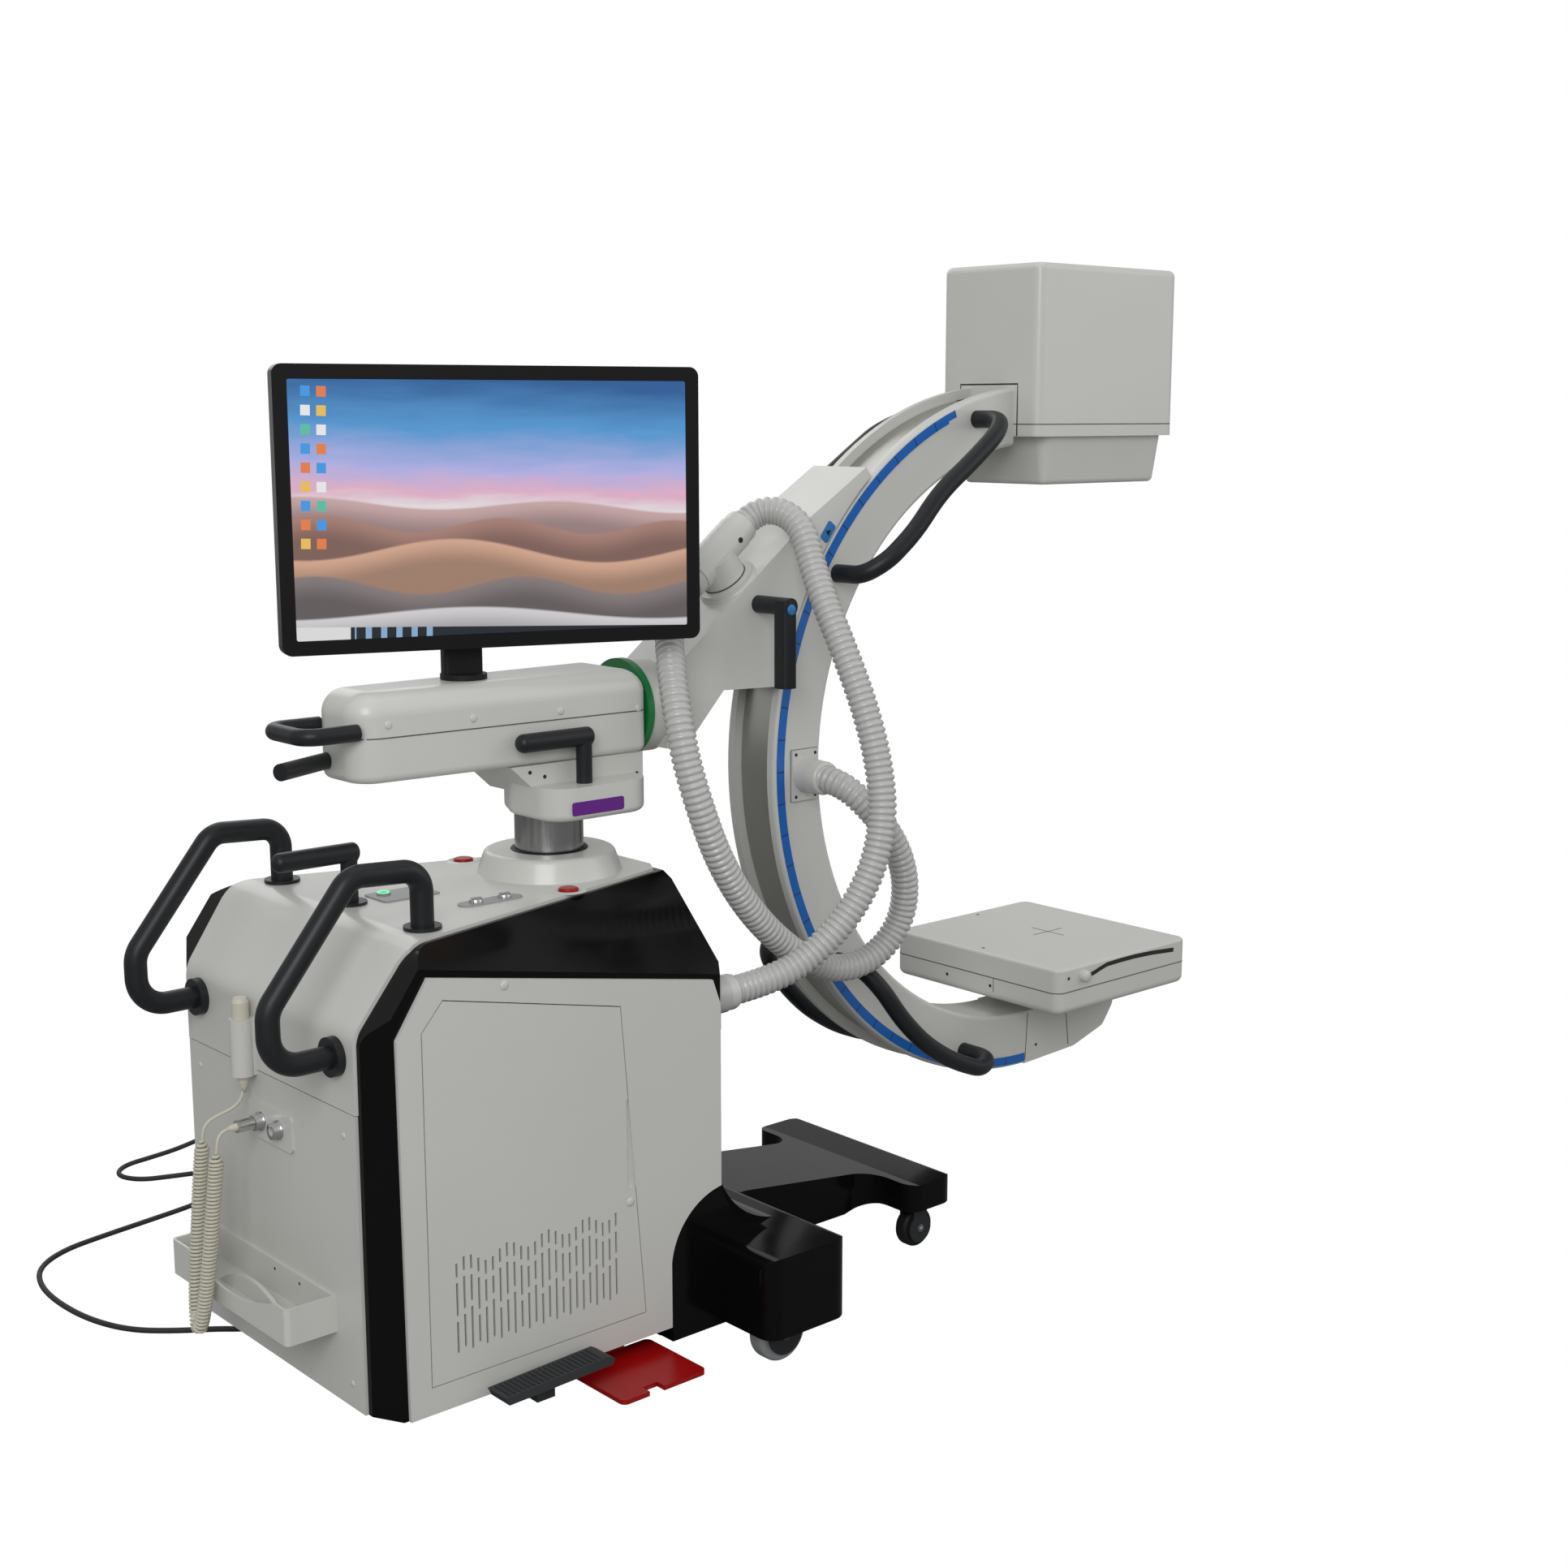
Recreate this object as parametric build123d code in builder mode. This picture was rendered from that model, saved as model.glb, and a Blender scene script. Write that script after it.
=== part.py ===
from build123d import *
import math
import os

# Mobile C-arm: a wheeled cabinet with a lifting column, a swivelling arm housing
# and a C-shaped arm with an X-ray tube housing above and a flat detector below.
# +X points forward, from the cabinet to the C; +Y is the machine's left; +Z is up.
# Lengths are millimetres. Places along X are given from the cabinet's rear datum.

os.makedirs("parts", exist_ok=True)

# Overall reach and datum
push_rail_back = 131.0
push_rail_r = 16.0
tube_front_x = 1785.0
front_reach = tube_front_x
rear_reach = push_rail_back + push_rail_r
datum_x = -(front_reach - rear_reach) / 2

# Fits
running_gap = 0.3
panel_gap = 1.5

# Cabinet
cab_half = 294.5
cab_bottom = 85.0
deck_z = 726.0
deck_front = 600.0
cab_front = 560.0
cab_rear = -35.0
knee_z = 610.0
slope_top_x = 50.0
rear_half = 236.0
panel_t = 6.0
cover_t = 5.0
facet_low_front_z = 601.0
facet_low_front_x = 528.0
deck_half_rear = 247.0
deck_half_front = 100.0
deck_half_front_x = 570.0
bay_depth = 170.0
bay_floor_z = 160.0
bay_top_z = 575.0
bay_rear_x = 55.0
bay_front_x = 350.0
fairing_x = 445.0
panel_front_x = 540.0
arch_top_z = 281.0

# Base
crossbar_rear_x = 545.0
crossbar_front_x = 705.0
crossbar_half = 400.0
crossbar_bottom = 64.0
crossbar_top = 190.0
beam_half = 100.0
beam_bottom = 62.0
beam_top = 150.0
front_bar_rear_x = 1036.0
front_bar_front_x = 1142.0
front_bar_half = 200.0
front_bar_bottom = 75.0
front_bar_top = 122.0

# Wheels
main_wheel_r = 45.0
main_wheel_w = 32.0
main_trail = 12.0
main_swivel_x = (crossbar_rear_x + crossbar_front_x) / 2
main_well_r = 62.0
main_swivel_y = crossbar_half - main_well_r - 2.0
main_well_top = 112.0
front_wheel_r = 34.0
front_wheel_w = 24.0
front_trail = 10.0
front_swivel_x = (front_bar_rear_x + front_bar_front_x) / 2
front_swivel_y = 163.0
fork_gap = 1.5
cheek_t = 4.0
axle_r = 6.0
bogie_x = 190.0
bogie_wheel_r = 50.0
bogie_wheel_w = 30.0
bogie_wheel_y = 62.0
bogie_well_r = 115.0
bogie_well_top = 140.0

# Column and head
column_x = 449.0
column_r = 52.0
column_bottom_z = 300.0
collar_top_z = 760.0
collar_r = 98.0
collar_base_r = 110.0
head_bottom_z = 822.0
head_top_z = 872.0
head_rear_x = 371.0
head_front_x = 557.0
head_right = 125.0
head_left = 24.0
neck_rear_x = 335.0
neck_half = 70.0
housing_bottom_z = 903.0
housing_top_z = 1030.0
housing_rear_x = 90.0
housing_front_x = 580.0
housing_half_rear = 62.0
housing_half_front = 80.0
roll_z = 962.0
tube_side = 89.4
tube_bore = tube_side + 2 * running_gap
slide_rear_x = 240.0
scale_disc_t = 12.0
scale_disc_r = 76.0
scale_disc_x = housing_front_x + 4.0
crank_x = scale_disc_x + scale_disc_t + running_gap
pivot_r = 25.0
pivot_reach = 34.0

# Monitor
monitor_neck_x = 304.0
monitor_yaw = -15.7
monitor_roll = -1.9
monitor_w = 618.0
monitor_h = 397.0
monitor_t = 36.0
monitor_z = 1277.0
monitor_shift = 41.0
monitor_gap = 30.0
bezel = 20.0
screen_t = 1.0

# C-arm
c_x = 1472.0
c_z = 836.0
ring_outer = 620.0
ring_inner = 520.0
ring_half = 60.0
channel_depth = 20.0
channel_half = 42.0
track_t = 3.0
ring_start = 80.0
ring_end = 270.0
carriage_gap = 5.0
carriage_low_angle = 167.0
carriage_high_angle = 131.0
carriage_half = 64.0
tongue_half = 34.0
tube_rear_x = 1410.0
tube_half = 117.0
tube_bottom_z = 1369.0
tube_top_z = 1664.0
skirt_bottom_z = 1285.0
detector_from_datum = 1579.0
detector_length = 368.0
detector_top_z = 436.0
detector_t = 86.0
detector_half = 204.0

# Hoses and cords
hose_r = 22.5
curly_r = 11.0
mains_r = 4.5
lead_r = 2.5


def along(x):
    return datum_x + x


def nearest(points, spots):
    return [points.sort_by_distance(Vector(x, z, 0))[0] for x, z in spots]


def ring_point(radius, angle):
    turn = math.radians(angle)
    return along(c_x) + radius * math.cos(turn), c_z + radius * math.sin(turn)


# Cabinet body, the gloss black core with its slanted flank facets
body_half = cab_half - panel_t
facet_a = Vector(along(50.0), -deck_half_rear, deck_z)
facet_b = Vector(along(deck_half_front_x), -deck_half_front, deck_z)
facet_c = Vector(along(facet_low_front_x), -cab_half, facet_low_front_z)
facet_normal = (facet_b - facet_a).cross(facet_c - facet_a).normalized()
if facet_normal.Z < 0:
    facet_normal = facet_normal * -1
facet_right = Plane(origin=facet_a, z_dir=facet_normal)
facet_left = Plane(
    origin=Vector(facet_a.X, -facet_a.Y, facet_a.Z),
    z_dir=Vector(facet_normal.X, -facet_normal.Y, facet_normal.Z),
)
corner_a = Vector(along(cab_rear), -rear_half, 0)
corner_b = Vector(along(-4.0), -cab_half, 0)
corner_normal = (corner_b - corner_a).cross(Vector(0, 0, 1)).normalized()
if corner_normal.Y > 0:
    corner_normal = corner_normal * -1
corner_right = Plane(origin=corner_a, z_dir=corner_normal)
corner_left = Plane(
    origin=Vector(corner_a.X, -corner_a.Y, 0),
    z_dir=Vector(corner_normal.X, -corner_normal.Y, 0),
)

# The two bends of the rear slope, on the body and on the inside of the top cover
knee_bend = 44.0
deck_bend = 56.0
inner_knee = (along(cab_rear + cover_t), knee_z)
inner_deck_edge = (along(slope_top_x), deck_z - cover_t)
outer_knee = (along(cab_rear), knee_z + 2)
outer_deck_edge = (along(slope_top_x - 3), deck_z)

with BuildPart() as cabinet_body:
    with BuildSketch(Plane.XZ) as body_profile:
        with BuildLine():
            Polyline(
                (along(cab_rear + cover_t), cab_bottom),
                (along(cab_rear + cover_t), knee_z),
                (along(slope_top_x), deck_z - cover_t),
                (along(deck_front - 12), deck_z - cover_t),
                (along(deck_front), deck_z - 40),
                (along(cab_front), facet_low_front_z),
                (along(cab_front), 285.0),
                (along(fairing_x), 285.0),
                (along(fairing_x), cab_bottom),
                (along(cab_rear + cover_t), cab_bottom),
            )
        make_face()
        fillet(nearest(body_profile.vertices(), [inner_knee]), knee_bend)
        fillet(nearest(body_profile.vertices(), [inner_deck_edge]), deck_bend)
    extrude(amount=body_half, both=True)
    split(bisect_by=facet_right, keep=Keep.BOTTOM)
    split(bisect_by=facet_left, keep=Keep.BOTTOM)
    split(bisect_by=corner_right, keep=Keep.BOTTOM)
    split(bisect_by=corner_left, keep=Keep.BOTTOM)
    # Front nose narrows towards the deck's end
    with BuildSketch(Plane.XY.offset(cab_bottom)):
        with BuildLine():
            Polyline(
                (along(cab_rear) - 10, -cab_half),
                (along(panel_front_x), -cab_half),
                (along(cab_front), -cab_half + 28),
                (along(deck_front) + 2, -70),
                (along(deck_front) + 2, 70),
                (along(cab_front), cab_half - 28),
                (along(panel_front_x), cab_half),
                (along(cab_rear) - 10, cab_half),
                close=True,
            )
        make_face()
    extrude(amount=deck_z, mode=Mode.INTERSECT)
    # Bay behind the service door
    with Locations((along((bay_rear_x + bay_front_x) / 2), -body_half + bay_depth / 2, bay_floor_z)):
        Box(
            bay_front_x - bay_rear_x,
            bay_depth,
            bay_top_z - bay_floor_z,
            align=(Align.CENTER, Align.CENTER, Align.MIN),
            mode=Mode.SUBTRACT,
        )
    # Well for the steered rear wheels and the guide bore of the lifting column
    with Locations((along(bogie_x), 0, cab_bottom)):
        Cylinder(
            bogie_well_r,
            bogie_well_top - cab_bottom,
            align=(Align.CENTER, Align.CENTER, Align.MIN),
            mode=Mode.SUBTRACT,
        )
    with Locations((along(column_x), 0, deck_z)):
        Cylinder(
            column_r + running_gap,
            deck_z - column_bottom_z + 12,
            align=(Align.CENTER, Align.CENTER, Align.MAX),
            mode=Mode.SUBTRACT,
        )
cabinet_body.part.label = "cabinet_body"
export_step(cabinet_body.part, "parts/cabinet_body.step")

# White top cover: the deck, the rear slope and the upper rear face in one bent sheet
cover_split_z = 505.0
with BuildPart() as top_cover:
    with BuildSketch(Plane.XZ) as cover_profile:
        with BuildLine():
            Polyline(
                (along(cab_rear), cover_split_z),
                outer_knee,
                outer_deck_edge,
                (along(deck_front - 12), deck_z),
                (along(deck_front - 12), deck_z - cover_t),
                inner_deck_edge,
                inner_knee,
                (along(cab_rear + cover_t), cover_split_z),
                close=True,
            )
        make_face()
        fillet(nearest(cover_profile.vertices(), [inner_knee]), knee_bend)
        fillet(nearest(cover_profile.vertices(), [inner_deck_edge]), deck_bend)
        fillet(nearest(cover_profile.vertices(), [outer_knee]), knee_bend + cover_t)
        fillet(nearest(cover_profile.vertices(), [outer_deck_edge]), deck_bend + cover_t)
    extrude(amount=cab_half, both=True)
    with BuildSketch(Plane.XY):
        with BuildLine():
            Polyline(
                (along(cab_rear) - 10, -rear_half),
                (along(slope_top_x), -deck_half_rear),
                (along(deck_half_front_x), -deck_half_front),
                (along(deck_front - 12), -70),
                (along(deck_front - 12), 70),
                (along(deck_half_front_x), deck_half_front),
                (along(slope_top_x), deck_half_rear),
                (along(cab_rear) - 10, rear_half),
                close=True,
            )
        make_face()
    extrude(amount=deck_z + 10, mode=Mode.INTERSECT)
    # Raised collar round the column
    with BuildSketch(Plane.XY.offset(deck_z - cover_t)):
        with Locations((along(column_x), 0)):
            Circle(collar_base_r)
    extrude(amount=cover_t)
    with BuildSketch(Plane.XY.offset(deck_z)):
        with Locations((along(column_x), 0)):
            Circle(collar_base_r)
    with BuildSketch(Plane.XY.offset(collar_top_z)):
        with Locations((along(column_x), 0)):
            Circle(collar_r)
    loft()
    fillet(top_cover.faces().sort_by(Axis.Z)[-1].outer_wire().edges(), 9)
    with Locations((along(column_x), 0, deck_z)):
        Cylinder(column_r + running_gap, 200, mode=Mode.SUBTRACT)
top_cover.part.label = "top_cover"
export_step(top_cover.part, "parts/top_cover.step")

# Lower rear panel, below the seam
with BuildPart() as rear_panel:
    with Locations((along(cab_rear), 0, cab_bottom)):
        Box(
            cover_t,
            2 * rear_half,
            cover_split_z - panel_gap - cab_bottom,
            align=(Align.MIN, Align.CENTER, Align.MIN),
        )
rear_panel.part.label = "rear_panel"
export_step(rear_panel.part, "parts/rear_panel.step")

# Side panels with the concave wheel arch at the front; the right one holds the door
door_rear_x = 33.0
door_low_z = 123.0
door_outline = (
    (door_rear_x, door_low_z),
    (door_rear_x, 616.0),
    (67.0, 655.0),
    (358.0, 591.0),
    (397.0, door_low_z),
)
for side, name in ((-1, "side_panel_right"), (1, "side_panel_left")):
    with BuildPart() as side_panel:
        with BuildSketch(Plane.XZ.offset(-side * body_half)):
            with BuildLine():
                Polyline(
                    (along(fairing_x), cab_bottom),
                    (along(0), cab_bottom),
                    (along(-4), 612.0),
                    (along(46), 688.0),
                    (along(facet_low_front_x - 2), 598.0),
                    (along(panel_front_x), 560.0),
                    (along(panel_front_x), arch_top_z),
                )
                ThreePointArc(
                    (along(panel_front_x), arch_top_z),
                    (along(474.0), 247.0),
                    (along(fairing_x), 185.0),
                )
                Line((along(fairing_x), 185.0), (along(fairing_x), cab_bottom))
            make_face()
            if side < 0:
                with BuildLine():
                    Polyline([(along(x), z) for x, z in door_outline], close=True)
                make_face(mode=Mode.SUBTRACT)
        extrude(amount=-side * panel_t)
    side_panel.part.label = name
    export_step(side_panel.part, f"parts/{name}.step")

# Service door, hinged along its rear edge, with the slotted vent field
vent_columns = 24
vent_pitch = 11.6
vent_first_x = 77.0
slot_w = 3.4
with BuildPart() as service_door:
    with BuildSketch(Plane.XZ.offset(body_half)):
        with BuildLine():
            Polyline([(along(x), z) for x, z in door_outline], close=True)
        make_face()
        offset(amount=-panel_gap, kind=Kind.INTERSECTION, mode=Mode.REPLACE)
        # Finger recess on the front edge
        with BuildLine():
            Polyline(
                (along(365), 452),
                (along(366), 320),
                (along(400), 320),
                (along(400), 452),
                close=True,
            )
        make_face(mode=Mode.SUBTRACT)
        for column in range(vent_columns):
            wave = 8 * math.sin(column * 1.1)
            centre_x = along(vent_first_x + column * vent_pitch)
            low = 160 + 6 * (column % 2)
            middle = 205 + 8 * (column % 3)
            high = 300 + wave
            for bottom, top in ((low, middle), (middle + 8, high - 40), (high - 32, high - 12)):
                with Locations((centre_x, (bottom + top) / 2)):
                    Rectangle(slot_w, top - bottom, mode=Mode.SUBTRACT)
    extrude(amount=panel_t)
service_door.part.label = "service_door"
export_step(service_door.part, "parts/service_door.step")

# Base: wheel fairings, crossbar, central beam and front bar in gloss black
with BuildPart() as base_cover:
    with BuildSketch(Plane.XY.offset(beam_bottom)) as base_plan:
        with Locations((along((crossbar_rear_x + crossbar_front_x) / 2), 0)):
            Rectangle(crossbar_front_x - crossbar_rear_x, 2 * crossbar_half)
        with Locations((along((crossbar_front_x + front_bar_rear_x) / 2), 0)):
            Rectangle(front_bar_rear_x - crossbar_front_x + 20, 2 * beam_half)
        with Locations((along((front_bar_rear_x + front_bar_front_x) / 2), 0)):
            Rectangle(front_bar_front_x - front_bar_rear_x, 2 * front_bar_half)
        for spot_x, spot_y, bend in (
            (crossbar_rear_x, crossbar_half, 26.0),
            (crossbar_front_x, crossbar_half, 30.0),
            (crossbar_front_x, beam_half, 55.0),
            (front_bar_rear_x, beam_half, 44.0),
            (front_bar_rear_x, front_bar_half, 26.0),
            (front_bar_front_x, front_bar_half, 30.0),
        ):
            pair = [(along(spot_x), spot_y), (along(spot_x), -spot_y)]
            fillet(nearest(base_plan.vertices(), pair), bend)
    extrude(amount=crossbar_top - beam_bottom)
    # Side profile: level over the crossbar, then falling to the front bar
    with BuildSketch(Plane.XZ) as base_profile:
        with BuildLine():
            Polyline(
                (along(crossbar_rear_x), crossbar_bottom),
                (along(crossbar_rear_x), crossbar_top),
                (along(crossbar_front_x - 12), crossbar_top),
                (along(crossbar_front_x + 34), beam_top + 14),
                (along(front_bar_rear_x + 20), front_bar_top),
                (along(front_bar_front_x), front_bar_top),
                (along(front_bar_front_x), front_bar_bottom),
                (along(front_bar_rear_x - 4), front_bar_bottom),
                (along(front_bar_rear_x - 60), beam_bottom),
                (along(crossbar_front_x + 20), beam_bottom),
                (along(crossbar_front_x - 8), crossbar_bottom),
                close=True,
            )
        make_face()
        top_corners = [(along(crossbar_rear_x), crossbar_top), (along(crossbar_front_x - 12), crossbar_top)]
        fillet(nearest(base_profile.vertices(), top_corners), 20)
        fillet(nearest(base_profile.vertices(), [(along(front_bar_front_x), front_bar_top)]), 14)
    extrude(amount=crossbar_half, both=True, mode=Mode.INTERSECT)
    # Fairing that fills the cabinet's front cut and sweeps down to the crossbar
    with BuildSketch(Plane.XZ):
        with BuildLine():
            Polyline(
                (along(fairing_x), beam_bottom),
                (along(fairing_x), arch_top_z + 4),
                (along(cab_front), arch_top_z + 4),
            )
            ThreePointArc(
                (along(cab_front), arch_top_z + 4),
                (along(600.0), 222.0),
                (along(690.0), 188.0),
            )
            Polyline(
                (along(690), 188.0),
                (along(690), beam_bottom),
                (along(fairing_x), beam_bottom),
            )
        make_face()
    extrude(amount=body_half - 24, both=True)
    # Side cheeks of the fairing, inside the arch of each side panel
    with BuildSketch(Plane.XZ):
        with BuildLine():
            Polyline(
                (along(fairing_x + panel_gap), beam_bottom),
                (along(fairing_x + panel_gap), 184.0),
            )
            ThreePointArc(
                (along(fairing_x + panel_gap), 184.0),
                (along(474.0 + panel_gap), 247.0 - panel_gap),
                (along(panel_front_x), arch_top_z - panel_gap),
            )
            ThreePointArc(
                (along(panel_front_x), arch_top_z - panel_gap),
                (along(572.0), 225.0),
                (along(660.0), 186.0),
            )
            Polyline(
                (along(660), 186.0),
                (along(690), 150.0),
                (along(690), beam_bottom),
                (along(fairing_x + panel_gap), beam_bottom),
            )
        make_face()
    extrude(amount=cab_half - 1, both=True)
    for side in (-1, 1):
        with Locations((along(main_swivel_x), side * main_swivel_y, 0)):
            Cylinder(
                main_well_r,
                main_well_top,
                align=(Align.CENTER, Align.CENTER, Align.MIN),
                mode=Mode.SUBTRACT,
            )
            Cylinder(
                10 + running_gap,
                main_well_top + 20,
                align=(Align.CENTER, Align.CENTER, Align.MIN),
                mode=Mode.SUBTRACT,
            )
        with Locations((along(front_swivel_x), side * front_swivel_y, 0)):
            Cylinder(
                7 + running_gap,
                front_bar_bottom + 20,
                align=(Align.CENTER, Align.CENTER, Align.MIN),
                mode=Mode.SUBTRACT,
            )
base_cover.part.label = "base_cover"
export_step(base_cover.part, "parts/base_cover.step")

# Castors: forks with round cheeks and their wheels
castors = (
    ("main", main_swivel_x, main_swivel_y, main_wheel_r, main_wheel_w, main_trail, main_well_top, 10.0),
    ("front", front_swivel_x, front_swivel_y, front_wheel_r, front_wheel_w, front_trail, front_bar_bottom, 7.0),
)
for kind, place_x, place_y, wheel_r, wheel_w, trail, seat_z, pin_r in castors:
    for side, hand in ((-1, "right"), (1, "left")):
        cheek_y = wheel_w / 2 + fork_gap
        wheel_x = along(place_x - trail)
        with BuildPart() as castor_fork:
            with BuildSketch(Plane.XZ.offset(-(side * place_y + cheek_y))) as cheek_shape:
                with Locations((wheel_x, wheel_r)):
                    Circle(wheel_r * 0.72)
                with Locations((wheel_x, (wheel_r + seat_z) / 2)):
                    Rectangle(wheel_r * 0.9, seat_z - wheel_r - 2 * running_gap)
            extrude(amount=-cheek_t)
            mirror(about=Plane.XZ.offset(-side * place_y))
            with Locations((along(place_x), side * place_y, seat_z - running_gap)):
                Cylinder(
                    wheel_r * 0.6,
                    seat_z - running_gap - 2 * wheel_r - 3,
                    align=(Align.CENTER, Align.CENTER, Align.MAX),
                )
                Cylinder(
                    pin_r,
                    18,
                    align=(Align.CENTER, Align.CENTER, Align.MIN),
                )
            with Locations((wheel_x, side * place_y, wheel_r)):
                Cylinder(
                    axle_r,
                    2 * (cheek_y + cheek_t),
                    rotation=(90, 0, 0),
                )
        castor_fork.part.label = f"castor_fork_{kind}_{hand}"
        export_step(castor_fork.part, f"parts/castor_fork_{kind}_{hand}.step")

        with BuildPart() as castor_wheel:
            with Locations((wheel_x, side * place_y, wheel_r)):
                Cylinder(wheel_r, wheel_w, rotation=(90, 0, 0))
                Cylinder(axle_r + running_gap, wheel_w + 2, rotation=(90, 0, 0), mode=Mode.SUBTRACT)
            fillet(castor_wheel.edges().filter_by(GeomType.CIRCLE).sort_by(SortBy.RADIUS)[-2:], wheel_w * 0.25)
        castor_wheel.part.label = f"castor_wheel_{kind}_{hand}"
        export_step(castor_wheel.part, f"parts/castor_wheel_{kind}_{hand}.step")

# Rear steering bogie with its two wheels, under the cabinet
with BuildPart() as steering_bogie:
    with Locations((along(bogie_x), 0, bogie_well_top - running_gap)):
        Cylinder(44, 12, align=(Align.CENTER, Align.CENTER, Align.MAX))
    with Locations((along(bogie_x), 0, bogie_wheel_r - 10)):
        Box(
            44,
            2 * (bogie_wheel_y - bogie_wheel_w / 2 - fork_gap),
            bogie_well_top - 5 - bogie_wheel_r + 10,
            align=(Align.CENTER, Align.CENTER, Align.MIN),
        )
    with Locations((along(bogie_x), 0, bogie_wheel_r)):
        Cylinder(8, 2 * (bogie_wheel_y + bogie_wheel_w / 2 + 3), rotation=(90, 0, 0))
steering_bogie.part.label = "steering_bogie"
export_step(steering_bogie.part, "parts/steering_bogie.step")

for side, hand in ((-1, "right"), (1, "left")):
    with BuildPart() as bogie_wheel:
        with Locations((along(bogie_x), side * bogie_wheel_y, bogie_wheel_r)):
            Cylinder(bogie_wheel_r, bogie_wheel_w, rotation=(90, 0, 0))
            Cylinder(8 + running_gap, bogie_wheel_w + 2, rotation=(90, 0, 0), mode=Mode.SUBTRACT)
        fillet(bogie_wheel.edges().filter_by(GeomType.CIRCLE).sort_by(SortBy.RADIUS)[-2:], 6)
    bogie_wheel.part.label = f"rear_wheel_{hand}"
    export_step(bogie_wheel.part, f"parts/rear_wheel_{hand}.step")

# Push rails, one on each side of the deck
rail_y = 193.0
rail_route = (
    (103.0, deck_z),
    (103.0, 807.0),
    (-5.0, 813.0),
    (-push_rail_back, 655.0),
    (-push_rail_back, 577.0),
    (cab_rear, 577.0),
)
rail_bends = (30.0, 34.0, 42.0, 44.0)
for side, hand in ((-1, "right"), (1, "left")):
    with BuildPart() as push_rail:
        with BuildLine():
            rail_path = FilletPolyline(
                [(along(x), side * rail_y, z) for x, z in rail_route],
                radius=list(rail_bends),
            )
        with BuildSketch(Plane(origin=rail_path @ 0, z_dir=rail_path % 0)):
            Circle(push_rail_r)
        sweep()
        with Locations((along(rail_route[0][0]), side * rail_y, deck_z)):
            Cylinder(26, 5, align=(Align.CENTER, Align.CENTER, Align.MIN))
        with Locations((along(cab_rear), side * rail_y, rail_route[-1][1])):
            Cylinder(27, 12, rotation=(0, -90, 0), align=(Align.CENTER, Align.CENTER, Align.MIN))
    push_rail.part.label = f"push_rail_{hand}"
    export_step(push_rail.part, f"parts/push_rail_{hand}.step")

# Steering lever on the deck
lever_x = 105.0
lever_post_r = 12.0
lever_grip_r = 14.0
lever_bar_z = 800.0
lever_reach = 118.0
lever_align = (Align.CENTER, Align.CENTER, Align.MIN)
with BuildPart() as steering_lever:
    with Locations((along(lever_x), 0, deck_z + running_gap)):
        Cylinder(24, 4, align=(Align.CENTER, Align.CENTER, Align.MIN))
        Cylinder(lever_post_r, lever_bar_z - deck_z, align=(Align.CENTER, Align.CENTER, Align.MIN))
    with Locations((along(lever_x) + lever_grip_r, 0, lever_bar_z)):
        Cylinder(lever_grip_r, lever_reach + lever_grip_r, rotation=(0, -90, 0), align=lever_align)
    fillet(steering_lever.faces().sort_by(Axis.X)[0].edges(), lever_grip_r - 2)
    fillet(steering_lever.faces().sort_by(Axis.X)[-1].edges(), lever_grip_r - 6)
steering_lever.part.label = "steering_lever"
export_step(steering_lever.part, "parts/steering_lever.step")

# Deck controls: grey button plate, key strip and the two stop buttons
plate_t = 2.0
with BuildPart() as deck_controls:
    with BuildSketch(Plane.XY.offset(deck_z)):
        with Locations((along(190), 0)):
            RectangleRounded(92, 62, 6)
        with Locations((along(262), -118)):
            SlotOverall(104, 30)
    extrude(amount=plate_t)
    with Locations((along(166), 12, deck_z + plate_t)):
        Cylinder(10, 3, align=(Align.CENTER, Align.CENTER, Align.MIN))
    for key_x in (238.0, 286.0):
        with Locations((along(key_x), -118, deck_z + plate_t)):
            Cylinder(9, 4, align=(Align.CENTER, Align.CENTER, Align.MIN))
            Box(16, 5, 7, align=(Align.CENTER, Align.CENTER, Align.MIN))
deck_controls.part.label = "deck_controls"
export_step(deck_controls.part, "parts/deck_controls.step")

stop_x = 384.0
stop_y = 138.0
with BuildPart() as stop_buttons:
    with Locations((along(stop_x), -stop_y, deck_z), (along(stop_x), stop_y, deck_z)):
        Cylinder(15, 5, align=(Align.CENTER, Align.CENTER, Align.MIN))
    fillet(stop_buttons.faces().group_by(Axis.Z)[-1].edges(), 3)
stop_buttons.part.label = "stop_buttons"
export_step(stop_buttons.part, "parts/stop_buttons.step")

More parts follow.
